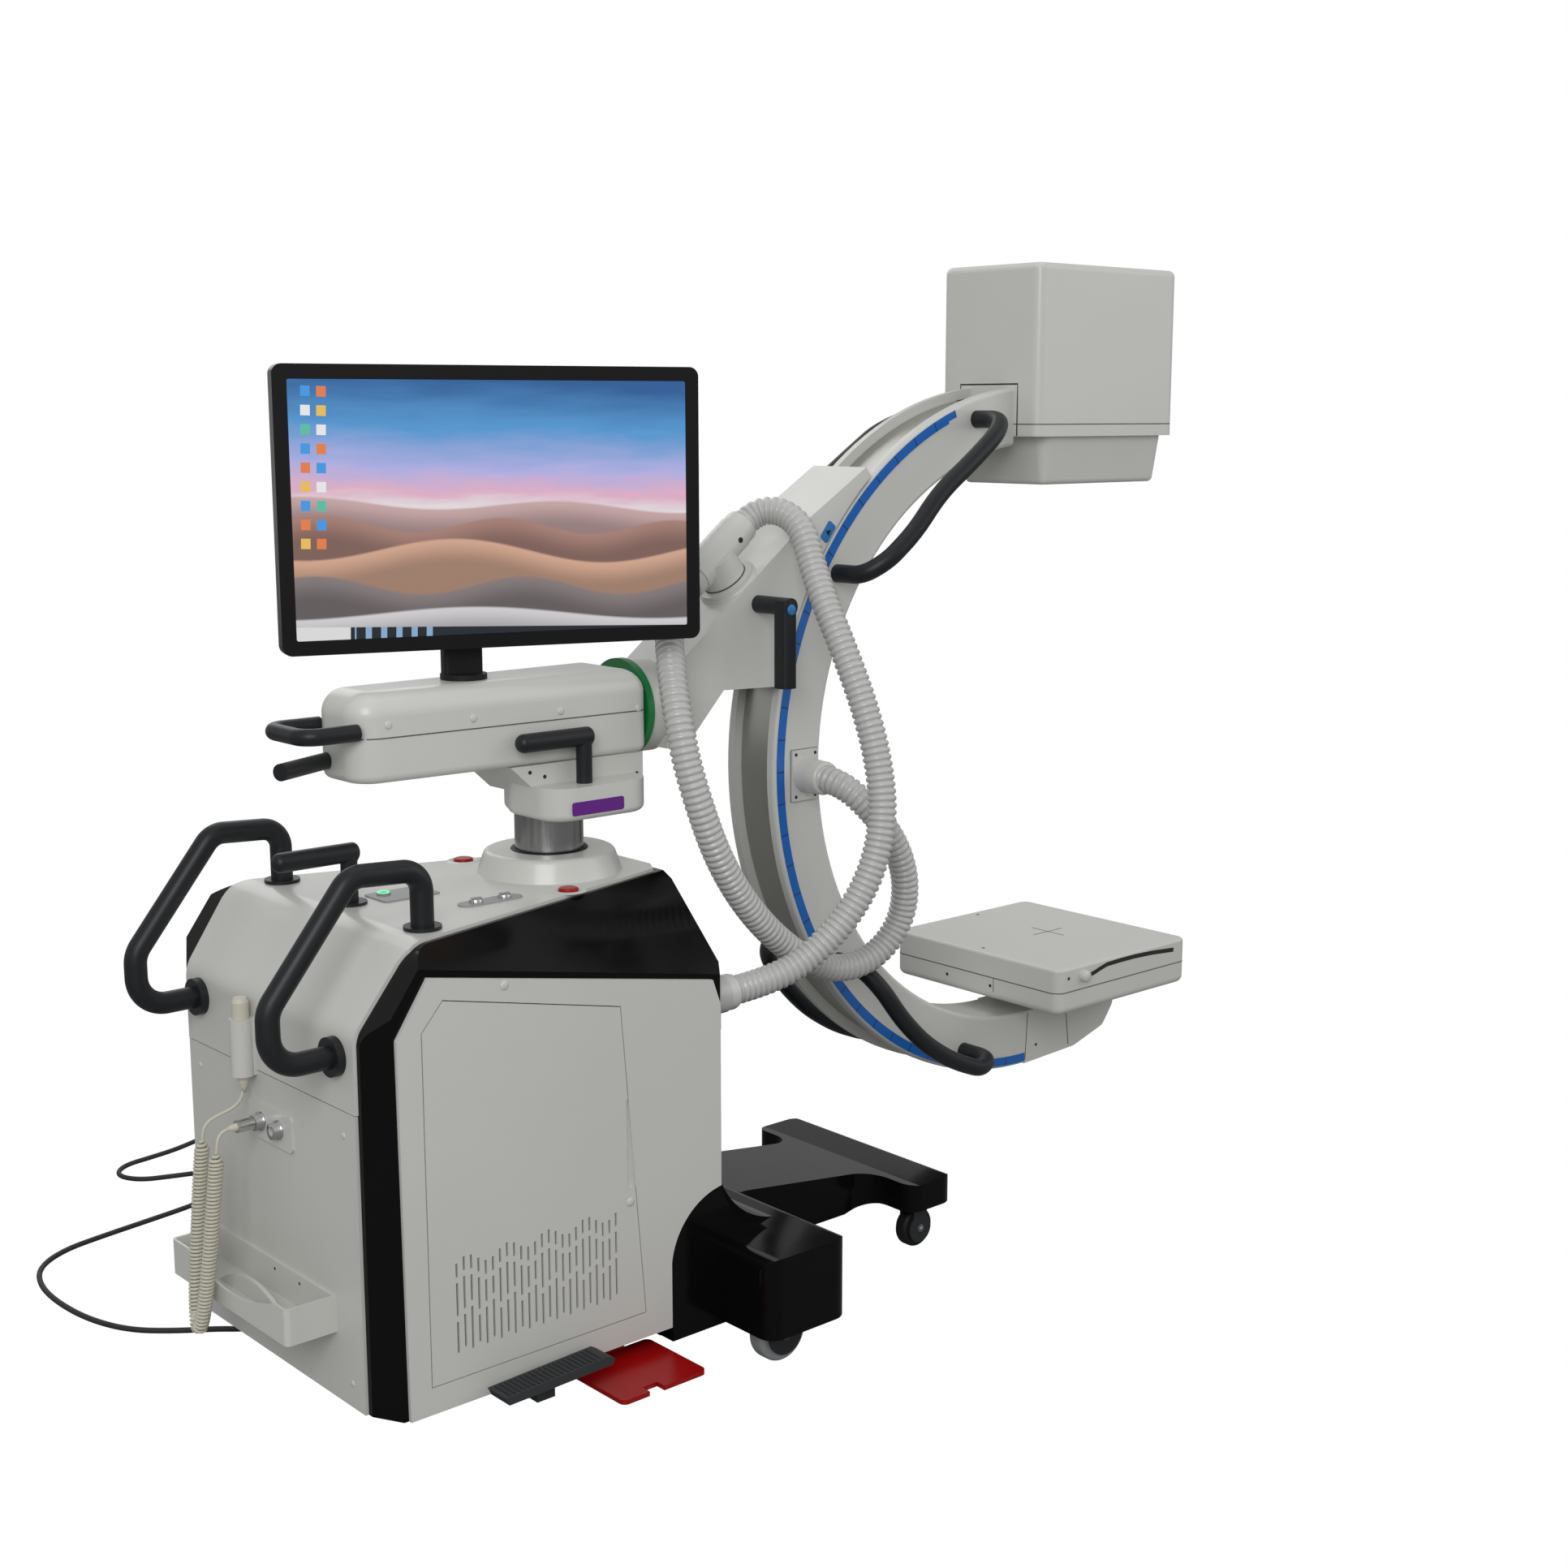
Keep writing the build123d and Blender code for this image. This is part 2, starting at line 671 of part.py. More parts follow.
# Accessory tray on the rear panel
tray_half = 168.0
tray_depth = 76.0
tray_low_z = 182.0
tray_h = 52.0
tray_wall = 4.0
with BuildPart() as rear_tray:
    with Locations((along(cab_rear), 0, tray_low_z)):
        Box(tray_depth, 2 * tray_half, tray_h, align=(Align.MAX, Align.CENTER, Align.MIN))
    fillet(rear_tray.edges().filter_by(Axis.Z).group_by(Axis.X)[0], 8)
    offset(amount=-tray_wall, openings=rear_tray.faces().sort_by(Axis.Z)[-1])
    # The front wall sweeps down in the middle
    with BuildSketch(Plane.YZ.offset(along(cab_rear) - tray_depth)):
        with BuildLine():
            Line((-tray_half * 0.8, tray_low_z + tray_h), (tray_half * 0.7, tray_low_z + tray_h))
            ThreePointArc(
                (tray_half * 0.7, tray_low_z + tray_h),
                (-tray_half * 0.05, tray_low_z + tray_h - 26),
                (-tray_half * 0.8, tray_low_z + tray_h),
            )
        make_face()
    extrude(amount=tray_wall + 4, mode=Mode.SUBTRACT)
    # Curved rib between the two compartments
    with BuildSketch(Plane.YZ.offset(along(cab_rear) - tray_depth / 2)):
        with BuildLine():
            Line((-tray_half * 0.55, tray_low_z + tray_wall), (tray_half * 0.55, tray_low_z + tray_wall))
            ThreePointArc(
                (tray_half * 0.55, tray_low_z + tray_wall),
                (0, tray_low_z + tray_h * 0.62),
                (-tray_half * 0.55, tray_low_z + tray_wall),
            )
        make_face()
    extrude(amount=3, both=True)
rear_tray.part.label = "rear_tray"
export_step(rear_tray.part, "parts/rear_tray.step")

# Connector plate with its two sockets; one takes the hand switch's plug
plate_z = 434.0
socket_y = 16.0
spare_socket_y = -34.0
with BuildPart() as connector_plate:
    with Locations((along(cab_rear), (socket_y + spare_socket_y) / 2, plate_z)):
        Box(4, 122, 52, align=(Align.MAX, Align.CENTER, Align.CENTER))
    fillet(connector_plate.edges().filter_by(Axis.X), 8)
    with Locations((along(cab_rear) - 4, socket_y, plate_z), (along(cab_rear) - 4, spare_socket_y, plate_z)):
        Cylinder(11, 12, rotation=(0, -90, 0), align=(Align.CENTER, Align.CENTER, Align.MIN))
    with Locations((along(cab_rear) - 16, spare_socket_y, plate_z)):
        Cylinder(6, 10, rotation=(0, -90, 0), align=(Align.CENTER, Align.CENTER, Align.MAX), mode=Mode.SUBTRACT)
connector_plate.part.label = "connector_plate"
export_step(connector_plate.part, "parts/connector_plate.step")

# Plug of the hand switch cord
plug_tip_x = cab_rear - 16 - running_gap
with BuildPart() as switch_plug:
    with Locations((along(plug_tip_x), socket_y, plate_z)):
        Cylinder(9, 26, rotation=(0, -90, 0), align=(Align.CENTER, Align.CENTER, Align.MIN))
switch_plug.part.label = "switch_plug"
export_step(switch_plug.part, "parts/switch_plug.step")

# Cradle with the hand switch in it
cradle_y = 40.0
cradle_low_z = 486.0
cradle_top_z = 598.0
cradle_x = cab_rear - 16.0
with BuildPart() as switch_cradle:
    with BuildSketch(Plane.XY.offset(cradle_low_z + 12)):
        with Locations((along(cradle_x), cradle_y)):
            Circle(16)
        with Locations((along(cab_rear - 8), cradle_y)):
            Rectangle(16, 24)
    extrude(amount=cradle_top_z - cradle_low_z - 30)
    with Locations((along(cradle_x), cradle_y, cradle_low_z)):
        Cylinder(12.3, 200, align=(Align.CENTER, Align.CENTER, Align.MIN), mode=Mode.SUBTRACT)
    split(bisect_by=Plane(origin=(along(cab_rear), 0, 0), z_dir=(-1, 0, 0)), keep=Keep.TOP)
switch_cradle.part.label = "switch_cradle"
export_step(switch_cradle.part, "parts/switch_cradle.step")

with BuildPart() as hand_switch:
    with BuildSketch(Plane.XZ.offset(-cradle_y)):
        with BuildLine():
            Polyline(
                (along(cradle_x), cradle_low_z),
                (along(cradle_x) + 7, cradle_low_z),
                (along(cradle_x) + 12, cradle_low_z + 30),
                (along(cradle_x) + 12, cradle_top_z + 6),
                (along(cradle_x) + 9, cradle_top_z + 12),
                (along(cradle_x), cradle_top_z + 12),
                close=True,
            )
        make_face()
    revolve(axis=Axis((along(cradle_x), cradle_y, 0), (0, 0, 1)))
hand_switch.part.label = "hand_switch"
export_step(hand_switch.part, "parts/hand_switch.step")

# Foot pedal and the red locking plate beside it, on brackets under the cabinet
pedal_y = cab_half + 13.5
lock_y = cab_half + 34.5
with BuildPart() as foot_pedal:
    with BuildSketch(Plane.XZ.offset(pedal_y)):
        with BuildLine():
            Polyline(
                (along(118), 92),
                (along(292), 96),
                (along(296), 104),
                (along(286), 110),
                (along(112), 104),
                close=True,
            )
        make_face()
    extrude(amount=44)
    with Locations((along(200), -pedal_y + 60, 62)):
        Box(34, 106, 18, align=(Align.CENTER, Align.CENTER, Align.MIN))
    with Locations((along(200), -pedal_y, 62)):
        Box(30, 24, 32, align=(Align.CENTER, Align.CENTER, Align.MIN))
    with Locations((along(200), -pedal_y + 96, 62)):
        Box(34, 34, cab_bottom - 62, align=(Align.CENTER, Align.CENTER, Align.MIN))
foot_pedal.part.label = "foot_pedal"
export_step(foot_pedal.part, "parts/foot_pedal.step")

with BuildPart() as lock_plate:
    with BuildSketch(Plane.XY.offset(56)):
        with Locations((along(350), -lock_y)):
            RectangleRounded(150, 138, 10)
        with Locations((along(334), -lock_y - 69)):
            Rectangle(26, 34, mode=Mode.SUBTRACT)
    extrude(amount=7)
    with Locations((along(350), -lock_y + 67, 63)):
        Box(60, 30, cab_bottom - 63, align=(Align.CENTER, Align.MIN, Align.MIN))
lock_plate.part.label = "lock_plate"
export_step(lock_plate.part, "parts/lock_plate.step")

# Lifting column
with BuildPart() as lift_column:
    with Locations((along(column_x), 0, column_bottom_z)):
        Cylinder(
            column_r,
            head_top_z - 12 - column_bottom_z,
            align=(Align.CENTER, Align.CENTER, Align.MIN),
        )
lift_column.part.label = "lift_column"
export_step(lift_column.part, "parts/lift_column.step")

# Column head, the swivelling slab under the arm housing
with BuildPart() as column_head:
    # Slab: a boss round the column and a lobe on the right that carries the lever
    with BuildSketch(Plane.XY.offset(head_bottom_z)):
        with Locations((along((head_rear_x + head_front_x) / 2), (head_left - head_right) / 2)):
            RectangleRounded(head_front_x - head_rear_x, head_left + head_right, 44)
        with Locations((along(column_x), 0)):
            Circle(column_r + 14)
    extrude(amount=head_top_z - head_bottom_z)
    fillet(column_head.faces().sort_by(Axis.Z)[0].outer_wire().edges(), 10)
    # Neck up to the housing, sloped at the rear
    with BuildSketch(Plane.XZ):
        with BuildLine():
            Polyline(
                (along(neck_rear_x), housing_bottom_z),
                (along(housing_front_x - 4), housing_bottom_z),
                (along(housing_front_x - 4), head_top_z - 20),
                (along(head_rear_x + 20), head_top_z - 20),
                close=True,
            )
        make_face()
    extrude(amount=neck_half, both=True)
    with Locations((along(column_x), 0, head_bottom_z)):
        Cylinder(
            column_r + running_gap,
            head_top_z - 12 + running_gap - head_bottom_z,
            align=(Align.CENTER, Align.CENTER, Align.MIN),
            mode=Mode.SUBTRACT,
        )
column_head.part.label = "column_head"
export_step(column_head.part, "parts/column_head.step")

# Head lever
head_lever_x = 449.0
head_lever_y = -93.0
head_lever_r = 14.0
head_lever_z = 941.0
head_lever_reach = 104.0
with BuildPart() as head_lever:
    with Locations((along(head_lever_x), head_lever_y, head_top_z)):
        Cylinder(lever_post_r, head_lever_z - head_top_z, align=lever_align)
    with Locations((along(head_lever_x) + head_lever_r, head_lever_y, head_lever_z)):
        Cylinder(head_lever_r, head_lever_reach + 2 * head_lever_r, rotation=(0, -90, 0), align=lever_align)
    fillet(head_lever.faces().sort_by(Axis.X)[0].edges(), head_lever_r - 2)
    fillet(head_lever.faces().sort_by(Axis.X)[-1].edges(), head_lever_r - 6)
head_lever.part.label = "head_lever"
export_step(head_lever.part, "parts/head_lever.step")

# Arm housing, with the bore of the sliding arm
housing_shoulder = 34.0
with BuildPart() as arm_housing:
    with BuildSketch(Plane.XY.offset(housing_bottom_z)):
        with BuildLine():
            Polyline(
                (along(housing_rear_x), -housing_half_rear),
                (along(housing_front_x), -housing_half_front),
                (along(housing_front_x), housing_half_front),
                (along(housing_rear_x), housing_half_rear),
                close=True,
            )
        make_face()
    extrude(amount=housing_top_z - housing_bottom_z)
    fillet(arm_housing.edges().filter_by(Axis.Z).group_by(Axis.X)[0], 40)
    fillet(arm_housing.edges().filter_by(Axis.Z).group_by(Axis.X)[-1], 16)
    fillet(arm_housing.faces().sort_by(Axis.Z)[-1].edges(), housing_shoulder)
    fillet(arm_housing.faces().sort_by(Axis.Z)[0].edges(), 12)
    with Locations((along(slide_rear_x - 10), 0, roll_z)):
        Box(
            housing_front_x - slide_rear_x + 20,
            tube_bore,
            tube_bore,
            align=(Align.MIN, Align.CENTER, Align.CENTER),
            mode=Mode.SUBTRACT,
        )
arm_housing.part.label = "arm_housing"
export_step(arm_housing.part, "parts/arm_housing.step")

# Rear grip: the loop handle and the release bar under it
grip_z = 977.0
grip_r = 12.0
grip_half = 52.0
grip_back = 16.0
with BuildPart() as rear_grip:
    with BuildLine():
        grip_path = FilletPolyline(
            [
                (along(housing_rear_x + 6), -grip_half, grip_z),
                (along(grip_back), -grip_half, grip_z),
                (along(grip_back), grip_half, grip_z),
                (along(housing_rear_x + 6), grip_half, grip_z),
            ],
            radius=[24, 24],
        )
    with BuildSketch(Plane(origin=grip_path @ 0, z_dir=grip_path % 0)):
        Circle(grip_r)
    sweep()
    with BuildLine():
        bar_path = Line((along(housing_rear_x), 24, 930), (along(grip_back - 24), -24, 930))
    with BuildSketch(Plane(origin=bar_path @ 0, z_dir=bar_path % 0)):
        Circle(grip_r)
    sweep()
rear_grip.part = rear_grip.part - arm_housing.part
rear_grip.part.label = "rear_grip"
export_step(rear_grip.part, "parts/rear_grip.step")

# Monitor: neck, shell and screen, yawed and rolled as it hangs on its neck
yaw_dir = Vector(math.cos(math.radians(monitor_yaw)), math.sin(math.radians(monitor_yaw)), 0)
face_dir = Vector(yaw_dir.Y, -yaw_dir.X, 0)
neck_axis = Vector(along(monitor_neck_x), 0, 0)
neck_plane = Plane(origin=neck_axis + Vector(0, 0, housing_top_z), x_dir=yaw_dir, z_dir=(0, 0, 1))
screen_centre = neck_axis + yaw_dir * monitor_shift + face_dir * monitor_gap + Vector(0, 0, monitor_z)
flat_plane = Plane(origin=screen_centre, x_dir=yaw_dir, z_dir=face_dir)
screen_plane = flat_plane.rotated((0, 0, monitor_roll))
with BuildPart() as monitor_shell:
    with BuildSketch(screen_plane):
        RectangleRounded(monitor_w, monitor_h, 14)
    extrude(amount=monitor_t / 2)
    with BuildSketch(screen_plane):
        RectangleRounded(monitor_w, monitor_h, 14)
    extrude(amount=-monitor_t / 4)
    with BuildSketch(screen_plane.offset(-monitor_t / 4)):
        RectangleRounded(monitor_w * 0.62, monitor_h * 0.6, 20)
    extrude(amount=-12, taper=30)
    with BuildSketch(screen_plane.offset(monitor_t / 2)):
        RectangleRounded(monitor_w - 2 * bezel, monitor_h - 2 * bezel, 3)
    extrude(amount=-screen_t - 1, mode=Mode.SUBTRACT)
monitor_shell.part.label = "monitor_shell"
export_step(monitor_shell.part, "parts/monitor_shell.step")

with BuildPart() as monitor_screen:
    with BuildSketch(screen_plane.offset(monitor_t / 2 - screen_t - 1)):
        RectangleRounded(monitor_w - 2 * bezel - 1, monitor_h - 2 * bezel - 1, 3)
    extrude(amount=screen_t)
monitor_screen.part.label = "monitor_screen"
export_step(monitor_screen.part, "parts/monitor_screen.step")

neck_back = monitor_gap - monitor_t / 4 - 12
with BuildPart() as monitor_neck:
    with BuildSketch(neck_plane):
        with Locations((0, -neck_back + 17)):
            RectangleRounded(58, 26, 6)
    extrude(amount=monitor_z + 60 - housing_top_z)
    with BuildSketch(neck_plane):
        Circle(34)
    extrude(amount=8)
    with BuildSketch(flat_plane.offset(-monitor_gap + neck_back)):
        RectangleRounded(110, 110, 8)
    extrude(amount=-5)
monitor_neck.part = monitor_neck.part - monitor_shell.part
monitor_neck.part.label = "monitor_neck"
export_step(monitor_neck.part, "parts/monitor_neck.step")

# Sliding arm with its pivot, and the green angle scale disc at its front
with BuildPart() as slide_arm:
    with Locations((along(slide_rear_x), 0, roll_z)):
        Box(
            scale_disc_x - slide_rear_x,
            tube_side,
            tube_side,
            align=(Align.MIN, Align.CENTER, Align.CENTER),
        )
    with Locations((along(scale_disc_x - 10), 0, roll_z)):
        Cylinder(
            pivot_r,
            10 + scale_disc_t + running_gap + pivot_reach,
            rotation=(0, 90, 0),
            align=(Align.CENTER, Align.CENTER, Align.MIN),
        )
slide_arm.part.label = "slide_arm"
export_step(slide_arm.part, "parts/slide_arm.step")

with BuildPart() as angle_scale:
    with BuildSketch(Plane.YZ.offset(along(scale_disc_x))):
        with Locations((0, roll_z)):
            Circle(scale_disc_r)
            Circle(pivot_r, mode=Mode.SUBTRACT)
    extrude(amount=scale_disc_t)
angle_scale.part.label = "angle_scale"
export_step(angle_scale.part, "parts/angle_scale.step")

# Crank arm with the carriage that holds the C by its channel
carriage_r = ring_outer + carriage_gap
crank_face_x = crank_x + 32.0
crank_shoulder_z = 1010.0
crank_knee_x = 919.0
crank_knee_z = 1240.0
low_x, low_z = ring_point(carriage_r, carriage_low_angle)
mid_x, mid_z = ring_point(carriage_r, (carriage_low_angle + carriage_high_angle) / 2)
high_x, high_z = ring_point(carriage_r, carriage_high_angle)
with BuildPart() as crank_arm:
    with BuildSketch(Plane.XZ):
        with BuildLine():
            Polyline(
                (low_x, low_z),
                (along(743), low_z + 4),
                (along(672), 905.0),
                (along(crank_face_x), 900.0),
                (along(crank_face_x), crank_shoulder_z),
                (along(crank_knee_x), crank_knee_z),
                (along(1050), 1322.0),
                (high_x, high_z),
            )
            ThreePointArc((high_x, high_z), (mid_x, mid_z), (low_x, low_z))
        make_face()
    extrude(amount=carriage_half, both=True)
    with BuildSketch(Plane.YZ.offset(along(crank_x))):
        with Locations((0, roll_z)):
            Circle(scale_disc_r - 4)
    extrude(amount=40)
    # Guide tongue that runs in the channel of the C
    tongue_low = ring_point(carriage_r + 2, carriage_low_angle - 3)
    tongue_plane = Plane(
        origin=(along(c_x), 0, c_z),
        x_dir=(math.cos(math.radians(carriage_high_angle + 3)), 0, math.sin(math.radians(carriage_high_angle + 3))),
        z_dir=(-math.sin(math.radians(carriage_high_angle + 3)), 0, math.cos(math.radians(carriage_high_angle + 3))),
    )
    with BuildSketch(tongue_plane):
        with Locations((ring_outer - channel_depth + track_t + 3, 0)):
            Rectangle(
                carriage_gap + channel_depth - track_t + 2,
                2 * tongue_half,
                align=(Align.MIN, Align.CENTER),
            )
    revolve(
        axis=Axis((along(c_x), 0, c_z), (0, -1, 0)),
        revolution_arc=carriage_low_angle - carriage_high_angle - 6,
    )
    with Locations((along(crank_x - 2), 0, roll_z)):
        Cylinder(
            pivot_r + running_gap,
            pivot_reach + 4,
            rotation=(0, 90, 0),
            align=(Align.CENTER, Align.CENTER, Align.MIN),
            mode=Mode.SUBTRACT,
        )
crank_arm.part.label = "crank_arm"
export_step(crank_arm.part, "parts/crank_arm.step")

# Brake lever on the carriage's right side
brake_x = 815.0
brake_z = 1112.0
with BuildPart() as brake_lever:
    with Locations((along(brake_x), -carriage_half, brake_z)):
        Cylinder(14, 78, rotation=(90, 0, 0), align=(Align.CENTER, Align.CENTER, Align.MIN))
    with BuildSketch(Plane.XY.offset(brake_z + 10)):
        with Locations((along(brake_x), -carriage_half - 64)):
            RectangleRounded(28, 30, 8)
    extrude(amount=-138)
brake_lever.part.label = "brake_lever"
export_step(brake_lever.part, "parts/brake_lever.step")

# Hose swivel on the crank's sloped face
slope_run = crank_knee_x - crank_face_x
slope_rise = crank_knee_z - crank_shoulder_z
slope = Vector(slope_run, 0, slope_rise).normalized()
slope_up = Vector(-slope.Z, 0, slope.X)
swivel_x = 795.0
swivel_y = -14.0
swivel_foot = Vector(
    along(swivel_x),
    swivel_y,
    crank_shoulder_z + (swivel_x - crank_face_x) * slope_rise / slope_run,
)
swivel_lift = 54.0
pipe_r = 29.0
pipe_up = 62.0
pipe_down = 44.0
pipe_centre = swivel_foot + slope_up * swivel_lift
pipe_upper = pipe_centre + slope * pipe_up
pipe_lower = pipe_centre - slope * pipe_down
with BuildPart() as hose_swivel:
    with BuildSketch(Plane(origin=swivel_foot, z_dir=slope_up)):
        Circle(48)
    extrude(amount=12)
    with BuildSketch(Plane(origin=swivel_foot, z_dir=slope_up)):
        Circle(36)
    extrude(amount=swivel_lift)
    with BuildSketch(Plane(origin=pipe_lower, z_dir=slope)):
        Circle(pipe_r)
    extrude(amount=pipe_up + pipe_down)
hose_swivel.part.label = "hose_swivel"
export_step(hose_swivel.part, "parts/hose_swivel.step")

# C profile with its open channel, and the steel track on the channel's floor
start_turn = math.radians(ring_start)
ring_plane = Plane(
    origin=(along(c_x), 0, c_z),
    x_dir=(math.cos(start_turn), 0, math.sin(start_turn)),
    z_dir=(-math.sin(start_turn), 0, math.cos(start_turn)),
)
ring_axis = Axis((along(c_x), 0, c_z), (0, -1, 0))
with BuildPart() as c_profile:
    with BuildSketch(ring_plane):
        with Locations(((ring_inner + ring_outer) / 2, 0)):
            RectangleRounded(ring_outer - ring_inner, 2 * ring_half, 7)
        with Locations((ring_outer, 0)):
            Rectangle(2 * channel_depth, 2 * channel_half, mode=Mode.SUBTRACT)
    revolve(axis=ring_axis, revolution_arc=ring_end - ring_start)
    with Locations((along(tube_rear_x), 0, c_z + 200)):
        Box(600, 400, 600, align=(Align.MIN, Align.CENTER, Align.MIN), mode=Mode.SUBTRACT)
c_profile.part.label = "c_profile"
export_step(c_profile.part, "parts/c_profile.step")

with BuildPart() as c_track:
    with BuildSketch(ring_plane):
        with Locations((ring_outer - channel_depth, 0)):
            Rectangle(track_t, 2 * channel_half - 2, align=(Align.MIN, Align.CENTER))
    revolve(axis=ring_axis, revolution_arc=ring_end - ring_start)
    with Locations((along(tube_rear_x), 0, c_z + 200)):
        Box(600, 400, 600, align=(Align.MIN, Align.CENTER, Align.MIN), mode=Mode.SUBTRACT)
c_track.part.label = "c_track"
export_step(c_track.part, "parts/c_track.step")

# Blue angle scales on both sides of the C
strip_plane = Plane(
    origin=(along(c_x), 0, c_z),
    x_dir=(math.cos(math.radians(110)), 0, math.sin(math.radians(110))),
    z_dir=(-math.sin(math.radians(110)), 0, math.cos(math.radians(110))),
)
with BuildPart() as scale_strips:
    with BuildSketch(strip_plane):
        with Locations((603, ring_half), (603, -ring_half - 0.8)):
            Rectangle(12, 0.8, align=(Align.MIN, Align.MIN))
    revolve(axis=ring_axis, revolution_arc=ring_end - 112)
scale_strips.part.label = "scale_strips"
export_step(scale_strips.part, "parts/scale_strips.step")

# Tube housing and its tapered collimator skirt
with BuildPart() as tube_housing:
    with Locations((along((tube_rear_x + tube_front_x) / 2), 0, tube_bottom_z)):
        Box(
            tube_front_x - tube_rear_x,
            2 * tube_half,
            tube_top_z - tube_bottom_z,
            align=(Align.CENTER, Align.CENTER, Align.MIN),
        )
    fillet(tube_housing.edges().filter_by(Axis.Z), 18)
    fillet(tube_housing.faces().sort_by(Axis.Z)[-1].edges(), 12)
tube_housing.part.label = "tube_housing"
export_step(tube_housing.part, "parts/tube_housing.step")

skirt_depth = tube_bottom_z - skirt_bottom_z
with BuildPart() as collimator_skirt:
    with BuildSketch(Plane.XY.offset(tube_bottom_z)):
        with Locations((along((tube_rear_x + tube_front_x) / 2 + 6), 0)):
            RectangleRounded(tube_front_x - tube_rear_x - 44, 2 * tube_half - 20, 22)
    extrude(amount=-skirt_depth, taper=8)
    fillet(collimator_skirt.faces().sort_by(Axis.Z)[0].edges(), 10)
collimator_skirt.part.label = "collimator_skirt"
export_step(collimator_skirt.part, "parts/collimator_skirt.step")

# Flat detector and the bracket that carries it on the C's lower end
detector_x = along(detector_from_datum)
with BuildPart() as detector:
    with Locations((detector_x, 0, detector_top_z)):
        Box(detector_length, 2 * detector_half, detector_t, align=(Align.CENTER, Align.CENTER, Align.MAX))
    fillet(detector.edges().filter_by(Axis.Z), 20)
    fillet(detector.faces().sort_by(Axis.Z)[-1].edges(), 6)
    fillet(detector.faces().sort_by(Axis.Z)[0].edges(), 14)
detector.part.label = "detector"
export_step(detector.part, "parts/detector.step")

bracket_top = detector_top_z - detector_t
bracket_toe_x = 1612.0
with BuildPart() as detector_bracket:
    with BuildSketch(Plane.XZ) as bracket_profile:
        with BuildLine():
            Polyline(
                (along(c_x), c_z - ring_outer),
                (along(bracket_toe_x), c_z - ring_outer + 6),
                (along(bracket_toe_x + 84), c_z - ring_outer + 31),
                (along(bracket_toe_x + 112), c_z - ring_outer + 68),
                (along(bracket_toe_x + 120), bracket_top),
                (along(c_x + 46), bracket_top),
                (along(c_x + 46), c_z - ring_inner),
                (along(c_x), c_z - ring_inner),
                close=True,
            )
        make_face()
        toe_corners = [
            (along(bracket_toe_x), c_z - ring_outer + 6),
            (along(bracket_toe_x + 84), c_z - ring_outer + 31),
            (along(bracket_toe_x + 112), c_z - ring_outer + 68),
        ]
        fillet(nearest(bracket_profile.vertices(), toe_corners), 22)
    extrude(amount=ring_half, both=True)
detector_bracket.part.label = "detector_bracket"
export_step(detector_bracket.part, "parts/detector_bracket.step")

# Grab rails on both sides of the C: angle from, angle to
grab_r = 15.0
# Radius, angle and distance from the middle plane of each place along a rail
upper_grab = (
    (584.0, 105.5, 60.0),
    (584.0, 105.5, 116.0),
    (574.0, 110.0, 145.0),
    (560.0, 117.5, 150.0),
    (558.0, 127.0, 150.0),
    (550.0, 136.0, 150.0),
    (564.0, 143.0, 146.0),
    (576.0, 146.8, 120.0),
    (576.0, 146.8, 60.0),
)
lower_grab = (
    (585.0, 215.4, 60.0),
    (585.0, 215.4, 116.0),
    (590.0, 219.4, 145.0),
    (599.0, 226.5, 150.0),
    (605.0, 234.0, 150.0),
    (606.0, 242.0, 150.0),
    (603.0, 249.5, 147.0),
    (585.0, 253.6, 122.0),
    (585.0, 253.6, 60.0),
)
with BuildPart() as grab_rails:
    for side in (-1, 1):
        for places in (upper_grab, lower_grab):
            route = []
            for radius, angle, out in places:
                spot_x, spot_z = ring_point(radius, angle)
                route.append(Vector(spot_x, side * out, spot_z))
            bends = []
            for before, corner, after in zip(route, route[1:], route[2:]):
                turn = (corner - before).get_angle(after - corner)
                shorter = min((corner - before).length, (after - corner).length)
                bends.append(0.45 * shorter / math.tan(math.radians(turn / 2)))
            with BuildLine():
                grab_path = FilletPolyline(route, radius=bends)
            with BuildSketch(Plane(origin=grab_path @ 0, z_dir=grab_path % 0)):
                Circle(grab_r)
            sweep()
grab_rails.part.label = "grab_rails"
export_step(grab_rails.part, "parts/grab_rails.step")

# Hose glands: on the cabinet's front and on the C's right side
gland_y = -222.0
gland_z = 548.0
with BuildPart() as cabinet_gland:
    with Locations((along(cab_front), gland_y, gland_z)):
        Box(8, 80, 80, align=(Align.MIN, Align.CENTER, Align.CENTER))
    with Locations((along(cab_front) + 8, gland_y, gland_z)):
        Cylinder(29, 34, rotation=(0, 90, 0), align=(Align.CENTER, Align.CENTER, Align.MIN))
cabinet_gland.part.label = "cabinet_gland"
export_step(cabinet_gland.part, "parts/cabinet_gland.step")

c_gland_x, c_gland_z = ring_point(556, 181)
with BuildPart() as c_gland:
    with Locations((c_gland_x, -ring_half, c_gland_z)):
        Box(56, 5, 84, align=(Align.CENTER, Align.MAX, Align.CENTER))
    with Locations((c_gland_x, -ring_half - 5, c_gland_z)):
        Cylinder(28, 30, rotation=(90, 0, 0), align=(Align.CENTER, Align.CENTER, Align.MIN))
c_gland.part.label = "c_gland"
export_step(c_gland.part, "parts/c_gland.step")


# Hoses and cords: each route is a list of places chosen by hand, from the datum
def cord_wire(places):
    corners = [Vector(along(x), y, z) for x, y, z in places]
    bends = []
    for before, corner, after in zip(corners, corners[1:], corners[2:]):
        turn = (corner - before).get_angle(after - corner)
        shorter = min((corner - before).length, (after - corner).length)
        bends.append(0.45 * shorter / math.tan(math.radians(turn / 2)))
    return FilletPolyline(corners, radius=bends), bends


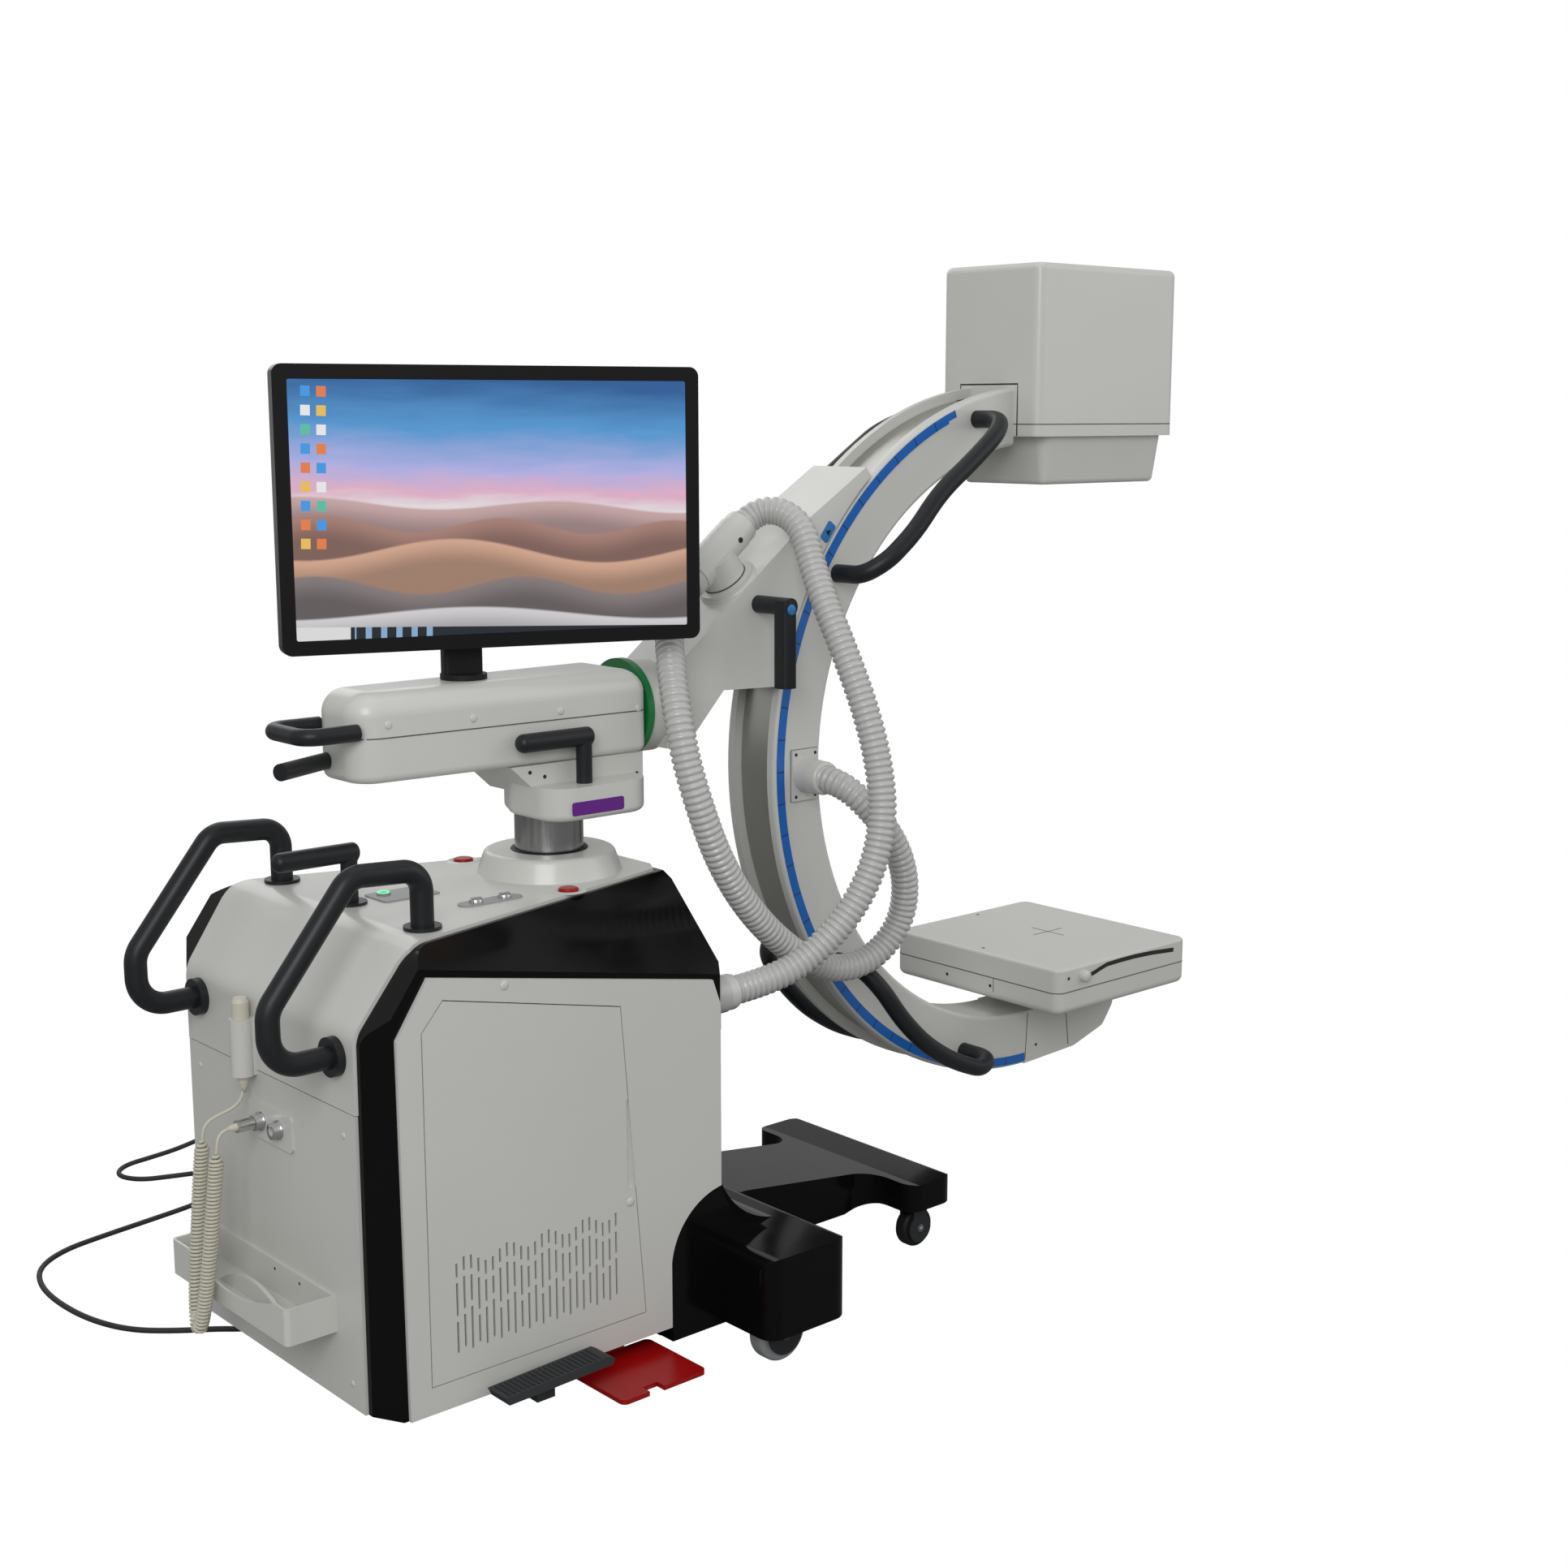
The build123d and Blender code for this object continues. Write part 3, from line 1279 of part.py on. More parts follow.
def report_cord(name, piece, path, radius, bends):
    expected = math.pi * radius**2 * path.length
    print(
        f"{name}: length {path.length:.0f}, bends {min(bends):.0f} to {max(bends):.0f},"
        f" volume ratio {piece.volume / expected:.4f}"
    )


upper_end = pipe_upper
lower_end = pipe_lower
upper_lead = upper_end + slope * 42
lower_lead = lower_end - slope * 42
gland_tip_x = cab_front + 42.0
c_gland_tip_y = -ring_half - 35.0
hose_cabinet_route = [
    (gland_tip_x, gland_y, gland_z),
    (668.0, gland_y, gland_z),
    (742.0, -242.0, 570.0),
    (808.0, -268.0, 628.0),
    (856.0, -283.0, 702.0),
    (882.0, -284.0, 790.0),
    (886.0, -266.0, 880.0),
    (880.0, -238.0, 966.0),
    (874.0, -198.0, 1048.0),
    (873.0, -156.0, 1118.0),
    (880.0, -120.0, 1172.0),
    (886.0, -94.0, 1222.0),
    (882.0, -66.0, 1248.0),
    (868.0, -36.0, 1258.0),
    (upper_lead.X - datum_x, upper_lead.Y, upper_lead.Z),
    (upper_end.X - datum_x, upper_end.Y, upper_end.Z),
]
hose_c_route = [
    (c_gland_x - datum_x, c_gland_tip_y, c_gland_z),
    (c_gland_x - datum_x, c_gland_tip_y - 48, c_gland_z),
    (948.0, -184.0, 784.0),
    (992.0, -198.0, 724.0),
    (1019.0, -198.0, 656.0),
    (1018.0, -188.0, 586.0),
    (976.0, -176.0, 534.0),
    (912.0, -166.0, 518.0),
    (844.0, -161.0, 538.0),
    (784.0, -160.0, 580.0),
    (728.0, -162.0, 630.0),
    (678.0, -166.0, 688.0),
    (638.0, -168.0, 752.0),
    (610.0, -166.0, 822.0),
    (594.0, -154.0, 892.0),
    (592.0, -138.0, 954.0),
    (606.0, -107.0, 1014.0),
    (634.0, -64.0, 1066.0),
    (666.0, -28.0, 1104.0),
    (lower_lead.X - datum_x, lower_lead.Y, lower_lead.Z),
    (lower_end.X - datum_x, lower_end.Y, lower_end.Z),
]
leg_top_a = (-108.0, 16.0, 404.0)
leg_top_b = (-108.0, 58.0, 412.0)
leg_low_a = (-136.0, 18.0, 150.0)
leg_low_b = (-136.0, 60.0, 146.0)
curly_route = [leg_top_a, leg_low_a, leg_low_b, leg_top_b]
plug_tail_x = plug_tip_x - 26.0
lead_a_route = [
    (plug_tail_x, socket_y, plate_z),
    (-92.0, socket_y, plate_z),
    (-102.0, 16.2, 429.0),
    (-107.0, 16.0, 418.0),
    leg_top_a,
]
lead_b_route = [
    leg_top_b,
    (-106.8, 58.0, 424.0),
    (-101.0, 57.0, 434.5),
    (-91.0, 54.5, 441.0),
    (-79.0, 51.0, 445.5),
    (-67.0, 47.0, 450.5),
    (-57.5, 43.0, 459.0),
    (cradle_x - 1, cradle_y + 0.6, 471.0),
    (cradle_x, cradle_y, cradle_low_z),
]
mains_exit_x = 70.0
mains_exit_y = 226.0
floor_z = mains_r + 0.5
mains_route = [
    (mains_exit_x, mains_exit_y, cab_bottom - 12),
    (mains_exit_x, mains_exit_y, 50.0),
    (64.0, 240.0, 24.0),
    (50.0, 272.0, 9.0),
    (20.0, 312.0, floor_z),
    (-32.0, 348.0, floor_z),
    (-82.0, 396.0, floor_z),
    (-112.0, 470.0, floor_z),
    (-124.0, 560.0, floor_z),
    (-120.0, 650.0, floor_z),
    (-92.0, 726.0, floor_z),
    (-30.0, 772.0, floor_z),
    (50.0, 788.0, floor_z),
    (140.0, 802.0, floor_z),
    (230.0, 817.0, floor_z),
    (308.0, 842.0, floor_z),
    (352.0, 896.0, floor_z),
    (330.0, 956.0, floor_z),
    (268.0, 978.0, floor_z),
    (212.0, 1000.0, floor_z),
    (190.0, 1050.0, floor_z),
    (222.0, 1092.0, floor_z),
    (286.0, 1100.0, floor_z),
    (350.0, 1112.0, floor_z),
    (400.0, 1130.0, 6.5),
]
cord_table = (
    ("hose_cabinet", hose_cabinet_route, hose_r),
    ("hose_c", hose_c_route, hose_r),
    ("curly_cord", curly_route, curly_r),
    ("mains_cord", mains_route, mains_r),
)
for name, route, radius in cord_table:
    with BuildPart() as cord:
        with BuildLine():
            cord_path, bend_radii = cord_wire(route)
        with BuildSketch(Plane(origin=cord_path @ 0, z_dir=cord_path % 0)):
            Circle(radius)
        sweep()
    report_cord(name, cord.part, cord_path, radius, bend_radii)
    cord.part.label = name
    export_step(cord.part, f"parts/{name}.step")

with BuildPart() as switch_leads:
    for route in (lead_a_route, lead_b_route):
        with BuildLine():
            lead_path, bend_radii = cord_wire(route)
        with BuildSketch(Plane(origin=lead_path @ 0, z_dir=lead_path % 0)):
            Circle(lead_r)
        sweep()
        print(f"switch lead: length {lead_path.length:.0f}, bends {min(bend_radii):.0f} to {max(bend_radii):.0f}")
switch_leads.part.label = "switch_leads"
export_step(switch_leads.part, "parts/switch_leads.step")

# Gland under the cabinet for the mains cord, and the plug at its free end
with BuildPart() as mains_gland:
    with Locations((along(mains_exit_x), mains_exit_y, cab_bottom)):
        Cylinder(12, 12, align=(Align.CENTER, Align.CENTER, Align.MAX))
mains_gland.part.label = "mains_gland"
export_step(mains_gland.part, "parts/mains_gland.step")

tail = Vector(*mains_route[-1]) - Vector(*mains_route[-2])
plug_plane = Plane(
    origin=Vector(along(mains_route[-1][0]), mains_route[-1][1], mains_route[-1][2]),
    x_dir=Vector(-tail.Y, tail.X, 0),
    z_dir=tail,
)
with BuildPart() as mains_plug:
    with BuildSketch(plug_plane):
        Circle(6)
    with BuildSketch(plug_plane.offset(20)):
        with Locations((0, 0)):
            RectangleRounded(34, 12, 4)
    loft()
    with BuildSketch(plug_plane.offset(20)):
        with Locations((0, 0)):
            RectangleRounded(38, 12.4, 4)
    extrude(amount=28)
    with BuildSketch(plug_plane.offset(48)):
        with Locations((-11, 0), (11, 0)):
            Rectangle(2, 6)
    extrude(amount=17)
mains_plug.part.label = "mains_plug"
export_step(mains_plug.part, "parts/mains_plug.step")
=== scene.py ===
"""Finishes, hoses, cords, small trims and stage of a mobile C-arm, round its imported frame."""

import math

import bmesh
import bpy
from bpy.props import FloatProperty, FloatVectorProperty, PointerProperty
from bpy.types import Operator, Panel, PropertyGroup
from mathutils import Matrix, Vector


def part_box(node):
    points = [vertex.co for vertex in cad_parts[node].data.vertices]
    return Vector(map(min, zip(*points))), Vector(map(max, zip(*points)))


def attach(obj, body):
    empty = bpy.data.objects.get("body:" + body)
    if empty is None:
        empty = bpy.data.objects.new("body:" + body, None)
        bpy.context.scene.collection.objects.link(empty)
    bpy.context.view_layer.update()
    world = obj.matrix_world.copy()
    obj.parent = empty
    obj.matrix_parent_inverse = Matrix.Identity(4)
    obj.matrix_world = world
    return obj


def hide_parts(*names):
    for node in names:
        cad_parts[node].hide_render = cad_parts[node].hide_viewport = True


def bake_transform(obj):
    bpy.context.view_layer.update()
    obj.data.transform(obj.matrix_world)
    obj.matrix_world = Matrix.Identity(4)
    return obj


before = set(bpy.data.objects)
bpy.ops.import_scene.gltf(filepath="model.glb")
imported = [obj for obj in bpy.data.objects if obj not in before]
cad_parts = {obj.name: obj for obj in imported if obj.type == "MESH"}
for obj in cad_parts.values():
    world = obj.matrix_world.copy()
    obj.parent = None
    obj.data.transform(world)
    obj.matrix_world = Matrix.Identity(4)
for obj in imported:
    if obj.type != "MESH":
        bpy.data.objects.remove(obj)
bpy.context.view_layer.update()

bl_info = {
    "name": "Mobile C-arm dresser",
    "version": (1, 0, 0),
    "blender": (4, 5, 0),
    "location": "3D View > Sidebar > C-arm",
    "description": "Finishes, hoses, cords, trims and stage for a mobile C-arm",
    "category": "Object",
}

# Places are given in millimetres from the cabinet's rear datum, as in the model
rear_face = -35
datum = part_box("rear_panel")[0][0] - rear_face / 1000
deck_z = 726
c_centre_x = 1472
c_centre_z = 836

# Faces and places that the small trims lie on, in millimetres and degrees
cabinet_half = 294.5
c_half = 60
gland_radius = 556
gland_angle = 181
tube_rear = 1410
tube_front = 1784
tube_half = 117
detector_rear = 1395
detector_front = 1763
detector_half = 204
detector_top = 436

# The arm housing tapers from its front to its rear
housing_rear = 90
housing_front = 580
housing_rear_half = 62
housing_front_half = 80

# Directions and the machine's two sides
forward = (1, 0, 0)
rearward = (-1, 0, 0)
rightward = (0, -1, 0)
upward = (0, 0, 1)
sides = ((-1, "right"), (1, "left"))


def place(x, y, z):
    """A point in millimetres from the cabinet's rear datum, in the frame's metres."""
    return Vector((datum + x / 1000, y / 1000, z / 1000))


def places(*spots):
    """Several such points in a list."""
    return [place(*spot) for spot in spots]


def ring_place(radius, angle, y):
    """A point by its radius and its angle in degrees about the C's centre."""
    turn = math.radians(angle)
    x = c_centre_x + radius * math.cos(turn)
    z = c_centre_z + radius * math.sin(turn)
    return place(x, y, z)


class SurfaceSettings(PropertyGroup):
    white: FloatVectorProperty(
        name="White",
        description="Colour of the white housings",
        subtype="COLOR",
        default=(0.62, 0.622, 0.59),
    )
    black: FloatVectorProperty(
        name="Gloss black",
        description="Colour of the cabinet core and the base",
        subtype="COLOR",
        default=(0.0035, 0.0037, 0.0037),
    )
    grip: FloatVectorProperty(
        name="Grip",
        description="Colour of rails, levers and grips",
        subtype="COLOR",
        default=(0.012, 0.0145, 0.0165),
    )
    hose: FloatVectorProperty(
        name="Hose",
        description="Colour of the ribbed hoses",
        subtype="COLOR",
        default=(0.53, 0.53, 0.515),
    )
    scale_blue: FloatVectorProperty(
        name="Scale blue",
        description="Colour of the angle scales on the C",
        subtype="COLOR",
        default=(0.001, 0.125, 0.5),
    )
    lock_red: FloatVectorProperty(
        name="Lock red",
        description="Colour of the locking plate",
        subtype="COLOR",
        default=(0.34, 0.003, 0.004),
    )


class CordSettings(PropertyGroup):
    hose_radius: FloatProperty(
        name="Hose radius",
        description="Outer radius of the ribbed hoses",
        default=0.0225,
        unit="LENGTH",
    )
    hose_pitch: FloatProperty(
        name="Hose rib pitch",
        description="Distance from one rib to the next",
        default=0.0105,
        unit="LENGTH",
    )
    curly_radius: FloatProperty(
        name="Curly cord radius",
        description="Outer radius of the curly cord's helix",
        default=0.011,
        unit="LENGTH",
    )
    curly_wire: FloatProperty(
        name="Curly cord wire",
        description="Radius of the wire that the helix is wound from",
        default=0.0024,
        unit="LENGTH",
    )
    mains_radius: FloatProperty(
        name="Mains cord radius",
        description="Radius of the mains cord",
        default=0.0045,
        unit="LENGTH",
    )


class StageSettings(PropertyGroup):
    camera_lens: FloatProperty(
        name="Lens",
        description="Focal length on a 36 mm sensor",
        default=48.07,
    )
    key_power: FloatProperty(
        name="Key light",
        description="Power of the key light",
        default=92.0,
        unit="POWER",
    )
    fill_power: FloatProperty(
        name="Fill light",
        description="Power of the fill light",
        default=22.0,
        unit="POWER",
    )


# Shader arithmetic
class Value:
    """A shader socket that takes part in Python arithmetic."""

    def __init__(self, shader, socket):
        self.shader = shader
        self.socket = socket

    def combine(self, operation, first, second):
        settings = {"operation": operation}
        return self.shader.node("ShaderNodeMath", settings, {0: first, 1: second}).value(0)

    def passed(self, operation):
        """The value after maths with one input, such as SINE or FRACT."""
        return self.shader.node("ShaderNodeMath", {"operation": operation}, {0: self}).value(0)

    def __add__(self, other):
        return self.combine("ADD", self, other)

    def __radd__(self, other):
        return self.combine("ADD", other, self)

    def __sub__(self, other):
        return self.combine("SUBTRACT", self, other)

    def __rsub__(self, other):
        return self.combine("SUBTRACT", other, self)

    def __mul__(self, other):
        return self.combine("MULTIPLY", self, other)

    def __rmul__(self, other):
        return self.combine("MULTIPLY", other, self)

    def __truediv__(self, other):
        return self.combine("DIVIDE", self, other)

    def __gt__(self, other):
        return self.combine("GREATER_THAN", self, other)

    def __lt__(self, other):
        return self.combine("LESS_THAN", self, other)

    def __mod__(self, other):
        return self.combine("FLOORED_MODULO", self, other)


class Made:
    """A node just made, whose outputs are read by number or name."""

    def __init__(self, shader, node):
        self.shader = shader
        self.node = node

    def value(self, output):
        return Value(self.shader, self.node.outputs[output])


class Shader:
    """One material's node tree, filled by name."""

    def __init__(self, name):
        self.material = bpy.data.materials.new(name)
        self.material.use_nodes = True
        self.tree = self.material.node_tree
        self.surface = self.tree.nodes["Principled BSDF"]

    def node(self, kind, settings=None, inputs=None):
        """Adds a node of one kind: its settings first, then its sockets' values or links."""
        made = self.tree.nodes.new(kind)
        for key, setting in (settings or {}).items():
            if key == "stops":
                ramp = made.color_ramp
                while len(ramp.elements) < len(setting):
                    ramp.elements.new(0.5)
                for element, (position, color) in zip(ramp.elements, setting):
                    element.position = position
                    element.color = (*color, 1.0)
            elif key == "steps":
                made.color_ramp.interpolation = setting
            else:
                setattr(made, key, setting)
        for key, given in (inputs or {}).items():
            self.feed(made.inputs[key], given)
        return Made(self, made)

    def feed(self, socket, given):
        """Links a value to a socket, or sets the socket to a number or colour."""
        if isinstance(given, Value):
            self.tree.links.new(given.socket, socket)
        elif isinstance(given, (tuple, list)) and len(given) == 3 and socket.type == "RGBA":
            socket.default_value = (*given, 1.0)
        else:
            socket.default_value = given

    def set(self, **inputs):
        """Feeds the surface's sockets by their names."""
        for key, given in inputs.items():
            self.feed(self.surface.inputs[key.replace("_", " ")], given)

    def where(self):
        """The surface point in the frame's metres."""
        return self.node("ShaderNodeTexCoord").value("Object")

    def axes(self):
        """The surface point's x, y and z."""
        split = self.node("ShaderNodeSeparateXYZ", None, {0: self.where()})
        return split.value(0), split.value(1), split.value(2)

    def noise(self, scale, detail=2.0, stretch=(1, 1, 1)):
        """Noise from 0 to 1 over the surface, of so many cells per metre."""
        point = self.where()
        if stretch != (1, 1, 1):
            settings = {"operation": "MULTIPLY"}
            point = self.node("ShaderNodeVectorMath", settings, {0: point, 1: stretch}).value(0)
        inputs = {"Vector": point, "Scale": scale, "Detail": detail}
        return self.node("ShaderNodeTexNoise", None, inputs).value("Fac")

    def mix(self, factor, first, second):
        inputs = {0: factor, 6: first, 7: second}
        return self.node("ShaderNodeMix", {"data_type": "RGBA"}, inputs).value(2)

    def bump(self, height, strength, distance):
        inputs = {"Strength": strength, "Distance": distance, "Height": height}
        self.set(Normal=self.node("ShaderNodeBump", None, inputs).value("Normal"))

    def smooth(self, low, high, given):
        """0 below low, 1 above high and a smooth step between."""
        settings = {"interpolation_type": "SMOOTHSTEP"}
        inputs = {"Value": given, "From Min": low, "From Max": high, "To Min": 0.0, "To Max": 1.0}
        return self.node("ShaderNodeMapRange", settings, inputs).value("Result")


def darker(color, share):
    return tuple(channel * share for channel in color)


def moulded(name, color, rough, coat=0.0, grain=900.0, grain_depth=0.00006, shine=0.5):
    """Moulded or painted shell: slow colour drift, fine grain and slightly uneven gloss."""
    shader = Shader(name)
    drift = shader.noise(2.5, 3.0)
    fine = shader.noise(grain, 1.0)
    handled = shader.noise(14.0, 4.0)
    shader.set(
        Base_Color=shader.mix(drift, darker(color, 0.93), darker(color, 1.05)),
        Roughness=rough + (handled - 0.5) * 0.12,
        Coat_Weight=coat,
        Coat_Roughness=0.12,
        Specular_IOR_Level=shine,
    )
    shader.bump(fine, 0.35, grain_depth)
    return shader.material


def brushed(name, color, rough, stretch=(1, 1, 0.01)):
    """Machined steel with fine lines along one direction."""
    shader = Shader(name)
    lines = shader.noise(700.0, 2.0, stretch)
    wide = shader.noise(30.0, 2.0, stretch)
    shader.set(
        Base_Color=shader.mix(wide, darker(color, 0.8), color),
        Metallic=1.0,
        Roughness=rough + (lines - 0.5) * 0.2,
    )
    shader.bump(lines, 0.25, 0.00004)
    return shader.material


def rubbery(name, color, rough=0.62):
    """Cord and tyre rubber with a dull, dusty surface."""
    shader = Shader(name)
    dust = shader.noise(25.0, 4.0)
    grit = shader.noise(1200.0, 1.0)
    dusty = tuple(min(1.0, channel * 1.5 + 0.02) for channel in color)
    shader.set(
        Base_Color=shader.mix(dust * 0.6, color, dusty),
        Roughness=rough + (dust - 0.5) * 0.2,
    )
    shader.bump(grit, 0.4, 0.00008)
    return shader.material


def marked_scale(name, color, step=5, width=0.2):
    """Film with a dark line across it at each step, both in degrees about the C's centre."""
    shader = Shader(name)
    x, _, z = shader.axes()
    across = x - (datum + c_centre_x / 1000)
    rise = z - c_centre_z / 1000
    turn = shader.node("ShaderNodeMath", {"operation": "ARCTAN2"}, {0: rise, 1: across}).value(0)
    line = ((turn + math.tau) % math.radians(step)) < math.radians(width)
    shader.set(
        Base_Color=shader.mix(line, color, darker(color, 0.25)),
        Roughness=0.35 + shader.noise(30.0) * 0.1,
        Coat_Weight=0.3,
    )
    return shader.material


def glowing(name, color, strength):
    """A lit ring of one colour."""
    shader = Shader(name)
    shader.set(Base_Color=color, Emission_Color=color, Emission_Strength=strength, Roughness=0.4)
    return shader.material


class Finishes:
    """All materials of the machine but the screen's, made once."""

    def __init__(self, look):
        white = tuple(look.white)
        self.white = moulded("white shell", white, 0.36, 0.25)
        self.white_panel = moulded("white panel", darker(white, 0.97), 0.42, 0.15, 1400.0)
        black = tuple(look.black)
        self.black = moulded("gloss black shell", black, 0.12, 0.0, 500.0, 0.00002, 0.12)
        self.grip = moulded("charcoal grip", tuple(look.grip), 0.4, 0.0, 1500.0, 0.00008, 0.3)
        self.bezel = moulded("bezel black", (0.006, 0.006, 0.007), 0.3, grain=1500.0, shine=0.25)
        self.dull_black = moulded("dull black", (0.01, 0.01, 0.011), 0.55, shine=0.25)
        self.pedal = moulded("pedal grey", (0.035, 0.039, 0.043), 0.6, 0.0, 700.0, 0.0002, 0.3)
        self.red = moulded("lock red", tuple(look.lock_red), 0.3, shine=0.3)
        self.green = moulded("scale green", (0.006, 0.2, 0.05), 0.4, 0.1)
        self.purple = moulded("label purple", (0.13, 0.008, 0.24), 0.4, 0.1)
        self.blue = moulded("marker blue", (0.012, 0.16, 0.45), 0.35, 0.2)
        self.grey = moulded("plate grey", (0.3, 0.31, 0.31), 0.45)
        self.mid_grey = moulded("insert grey", (0.1, 0.102, 0.1), 0.5)
        self.steel = brushed("column steel", (0.42, 0.42, 0.42), 0.26)
        self.track = brushed("track steel", (0.5, 0.5, 0.47), 0.3, (1, 40, 1))
        self.bright = brushed("bright steel", (0.62, 0.62, 0.62), 0.2, (1, 1, 1))
        self.hose = moulded("hose grey", tuple(look.hose), 0.34, 0.35, 1200.0)
        self.cream = moulded("cord cream", (0.6, 0.58, 0.48), 0.5)
        self.cord_black = rubbery("cord black", (0.012, 0.012, 0.012))
        self.tread = rubbery("castor tread", (0.26, 0.27, 0.27), 0.5)
        self.hub = moulded("castor cheek", (0.025, 0.027, 0.03), 0.35, shine=0.3)
        self.scale = marked_scale("scale blue", tuple(look.scale_blue))
        self.shadow = moulded("seam shadow", (0.03, 0.03, 0.03), 0.8, shine=0.2)
        self.led = glowing("ring light", (0.1, 0.9, 0.35), 1.2)


finishes = None


def paint(node, material):
    """Gives a carried-over node one material."""
    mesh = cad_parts[node].data
    mesh.materials.clear()
    mesh.materials.append(material)


def piece(name, mesh, finish, body, smooth=True):
    """Links a mesh or curve with one of the finishes, riding on a body, or with its transform baked
    in when given anything but a body's name.
    """
    made = bpy.data.objects.new(name, mesh)
    bpy.context.scene.collection.objects.link(made)
    mesh.materials.append(getattr(finishes, finish))
    if smooth and hasattr(mesh, "polygons"):
        for polygon in mesh.polygons:
            polygon.use_smooth = True
    if isinstance(body, str):
        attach(made, body)
    else:
        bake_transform(made)
    return made


# Mesh helpers
def mesh_of(name, fill):
    """A mesh from a function that fills a bmesh."""
    shape = bmesh.new()
    fill(shape)
    bmesh.ops.recalc_face_normals(shape, faces=shape.faces)
    mesh = bpy.data.meshes.new(name)
    shape.to_mesh(mesh)
    shape.free()
    return mesh


def form(name, fill, finish, body, smooth=True):
    """A piece whose mesh comes from a function that fills a bmesh."""
    return piece(name, mesh_of(name, fill), finish, body, smooth)


def circle(shape, centre, side, other, radius, segments):
    """Vertices round a centre, in the plane of two directions at right angles."""
    ring = []
    for number in range(segments):
        turn = math.tau * number / segments
        out = side * math.cos(turn) + other * math.sin(turn)
        ring.append(shape.verts.new(centre + out * radius))
    return ring


def wall(shape, lower, upper):
    """Faces between two closed rings, or between a ring and a single tip."""
    count = max(len(lower), len(upper))
    for number in range(count):
        after = (number + 1) % count
        if len(lower) == 1:
            shape.faces.new((lower[0], upper[number], upper[after]))
        elif len(upper) == 1:
            shape.faces.new((lower[number], lower[after], upper[0]))
        else:
            shape.faces.new((lower[number], lower[after], upper[after], upper[number]))


def turned(shape, centre, axis, profile, segments):
    """A turned form: profile pairs of (distance along the axis, radius), radius 0 for a tip."""
    axis = Vector(axis).normalized()
    side = axis.orthogonal().normalized()
    other = axis.cross(side)
    rings = []
    for along, radius in profile:
        spot = centre + axis * along
        if radius > 0:
            rings.append(circle(shape, spot, side, other, radius, segments))
        else:
            rings.append([shape.verts.new(spot)])
    for lower, upper in zip(rings, rings[1:]):
        wall(shape, lower, upper)


def slab(shape, centre, across, up, width, height, depth, corner, steps=5):
    """A plate with rounded corners; across and up are its directions, depth its thickness."""
    across = Vector(across).normalized()
    up = Vector(up).normalized()
    out = across.cross(up)
    outline = []
    for quarter, (sx, sy) in enumerate(((1, 1), (-1, 1), (-1, -1), (1, -1))):
        for step in range(steps + 1):
            turn = math.radians(90 * quarter + 90 * step / steps)
            u = sx * (width / 2 - corner) + corner * math.cos(turn)
            v = sy * (height / 2 - corner) + corner * math.sin(turn)
            outline.append(centre + across * u + up * v)
    back = [shape.verts.new(spot) for spot in outline]
    front = [shape.verts.new(spot + out * depth) for spot in outline]
    shape.faces.new(front)
    shape.faces.new(list(reversed(back)))
    wall(shape, back, front)


def heading_at(points, number):
    """The step from the point before one point of a line to the point after it."""
    return points[min(len(points) - 1, number + 1)] - points[max(0, number - 1)]


def strip(shape, points, normal, width, lift):
    """A flat band along points, lying on a surface with the given normal."""
    normal = Vector(normal).normalized()
    pairs = []
    for number, point in enumerate(points):
        side = heading_at(points, number).cross(normal).normalized() * width / 2
        edges = (point + side + normal * lift, point - side + normal * lift)
        pairs.append([shape.verts.new(edge) for edge in edges])
    for (a, b), (c, d) in zip(pairs, pairs[1:]):
        shape.faces.new((a, b, d, c))


def spline_curve(name, points, radius, resolution):
    """A NURBS curve through the route's control points, with a round section."""
    curve = bpy.data.curves.new(name, "CURVE")
    curve.dimensions = "3D"
    curve.bevel_depth = radius
    curve.bevel_resolution = 5
    curve.use_fill_caps = True
    spline = curve.splines.new("NURBS")
    spline.points.add(len(points) - 1)
    for point, spot in zip(spline.points, points):
        point.co = (*spot, 1.0)
    spline.order_u = 3
    spline.use_endpoint_u = True
    spline.resolution_u = resolution
    return curve


def path_of(points, resolution=16):
    """Points along the route's smooth line."""
    curve = spline_curve("path", points, 0.0, resolution)
    holder = bpy.data.objects.new("path", curve)
    mesh = bpy.data.meshes.new_from_object(holder)
    line = [vertex.co.copy() for vertex in mesh.vertices]
    bpy.data.objects.remove(holder)
    bpy.data.curves.remove(curve)
    bpy.data.meshes.remove(mesh)
    return line


def length_of(line):
    """The length of a line of points, in metres."""
    return sum((b - a).length for a, b in zip(line, line[1:]))


def even(line, step):
    """The same line resampled at even steps."""
    total = length_of(line)
    count = max(2, round(total / step))
    spots = []
    walked = 0.0
    segment = 0
    for number in range(count + 1):
        target = total * number / count
        stretch = line[segment + 1] - line[segment]
        while segment < len(line) - 2 and walked + stretch.length < target:
            walked += stretch.length
            segment += 1
            stretch = line[segment + 1] - line[segment]
        share = (target - walked) / stretch.length if stretch.length else 0.0
        spots.append(line[segment] + stretch * min(1.0, share))
    return spots


def frames_along(spots):
    """Each spot of a line with its heading and a side direction that doesn't twist."""
    frames = []
    side = (spots[1] - spots[0]).normalized().orthogonal().normalized()
    for number, spot in enumerate(spots):
        heading = heading_at(spots, number).normalized()
        side = (side - heading * side.dot(heading)).normalized()
        frames.append((spot, heading, side))
    return frames


def sleeve(shape, frames, radii, segments):
    """A tube with closed ends, whose radius is given at each frame."""
    rings = []
    for (spot, heading, side), radius in zip(frames, radii):
        rings.append(circle(shape, spot, side, heading.cross(side), radius, segments))
    for lower, upper in zip(rings, rings[1:]):
        wall(shape, lower, upper)
    shape.faces.new(list(reversed(rings[0])))
    shape.faces.new(rings[-1])


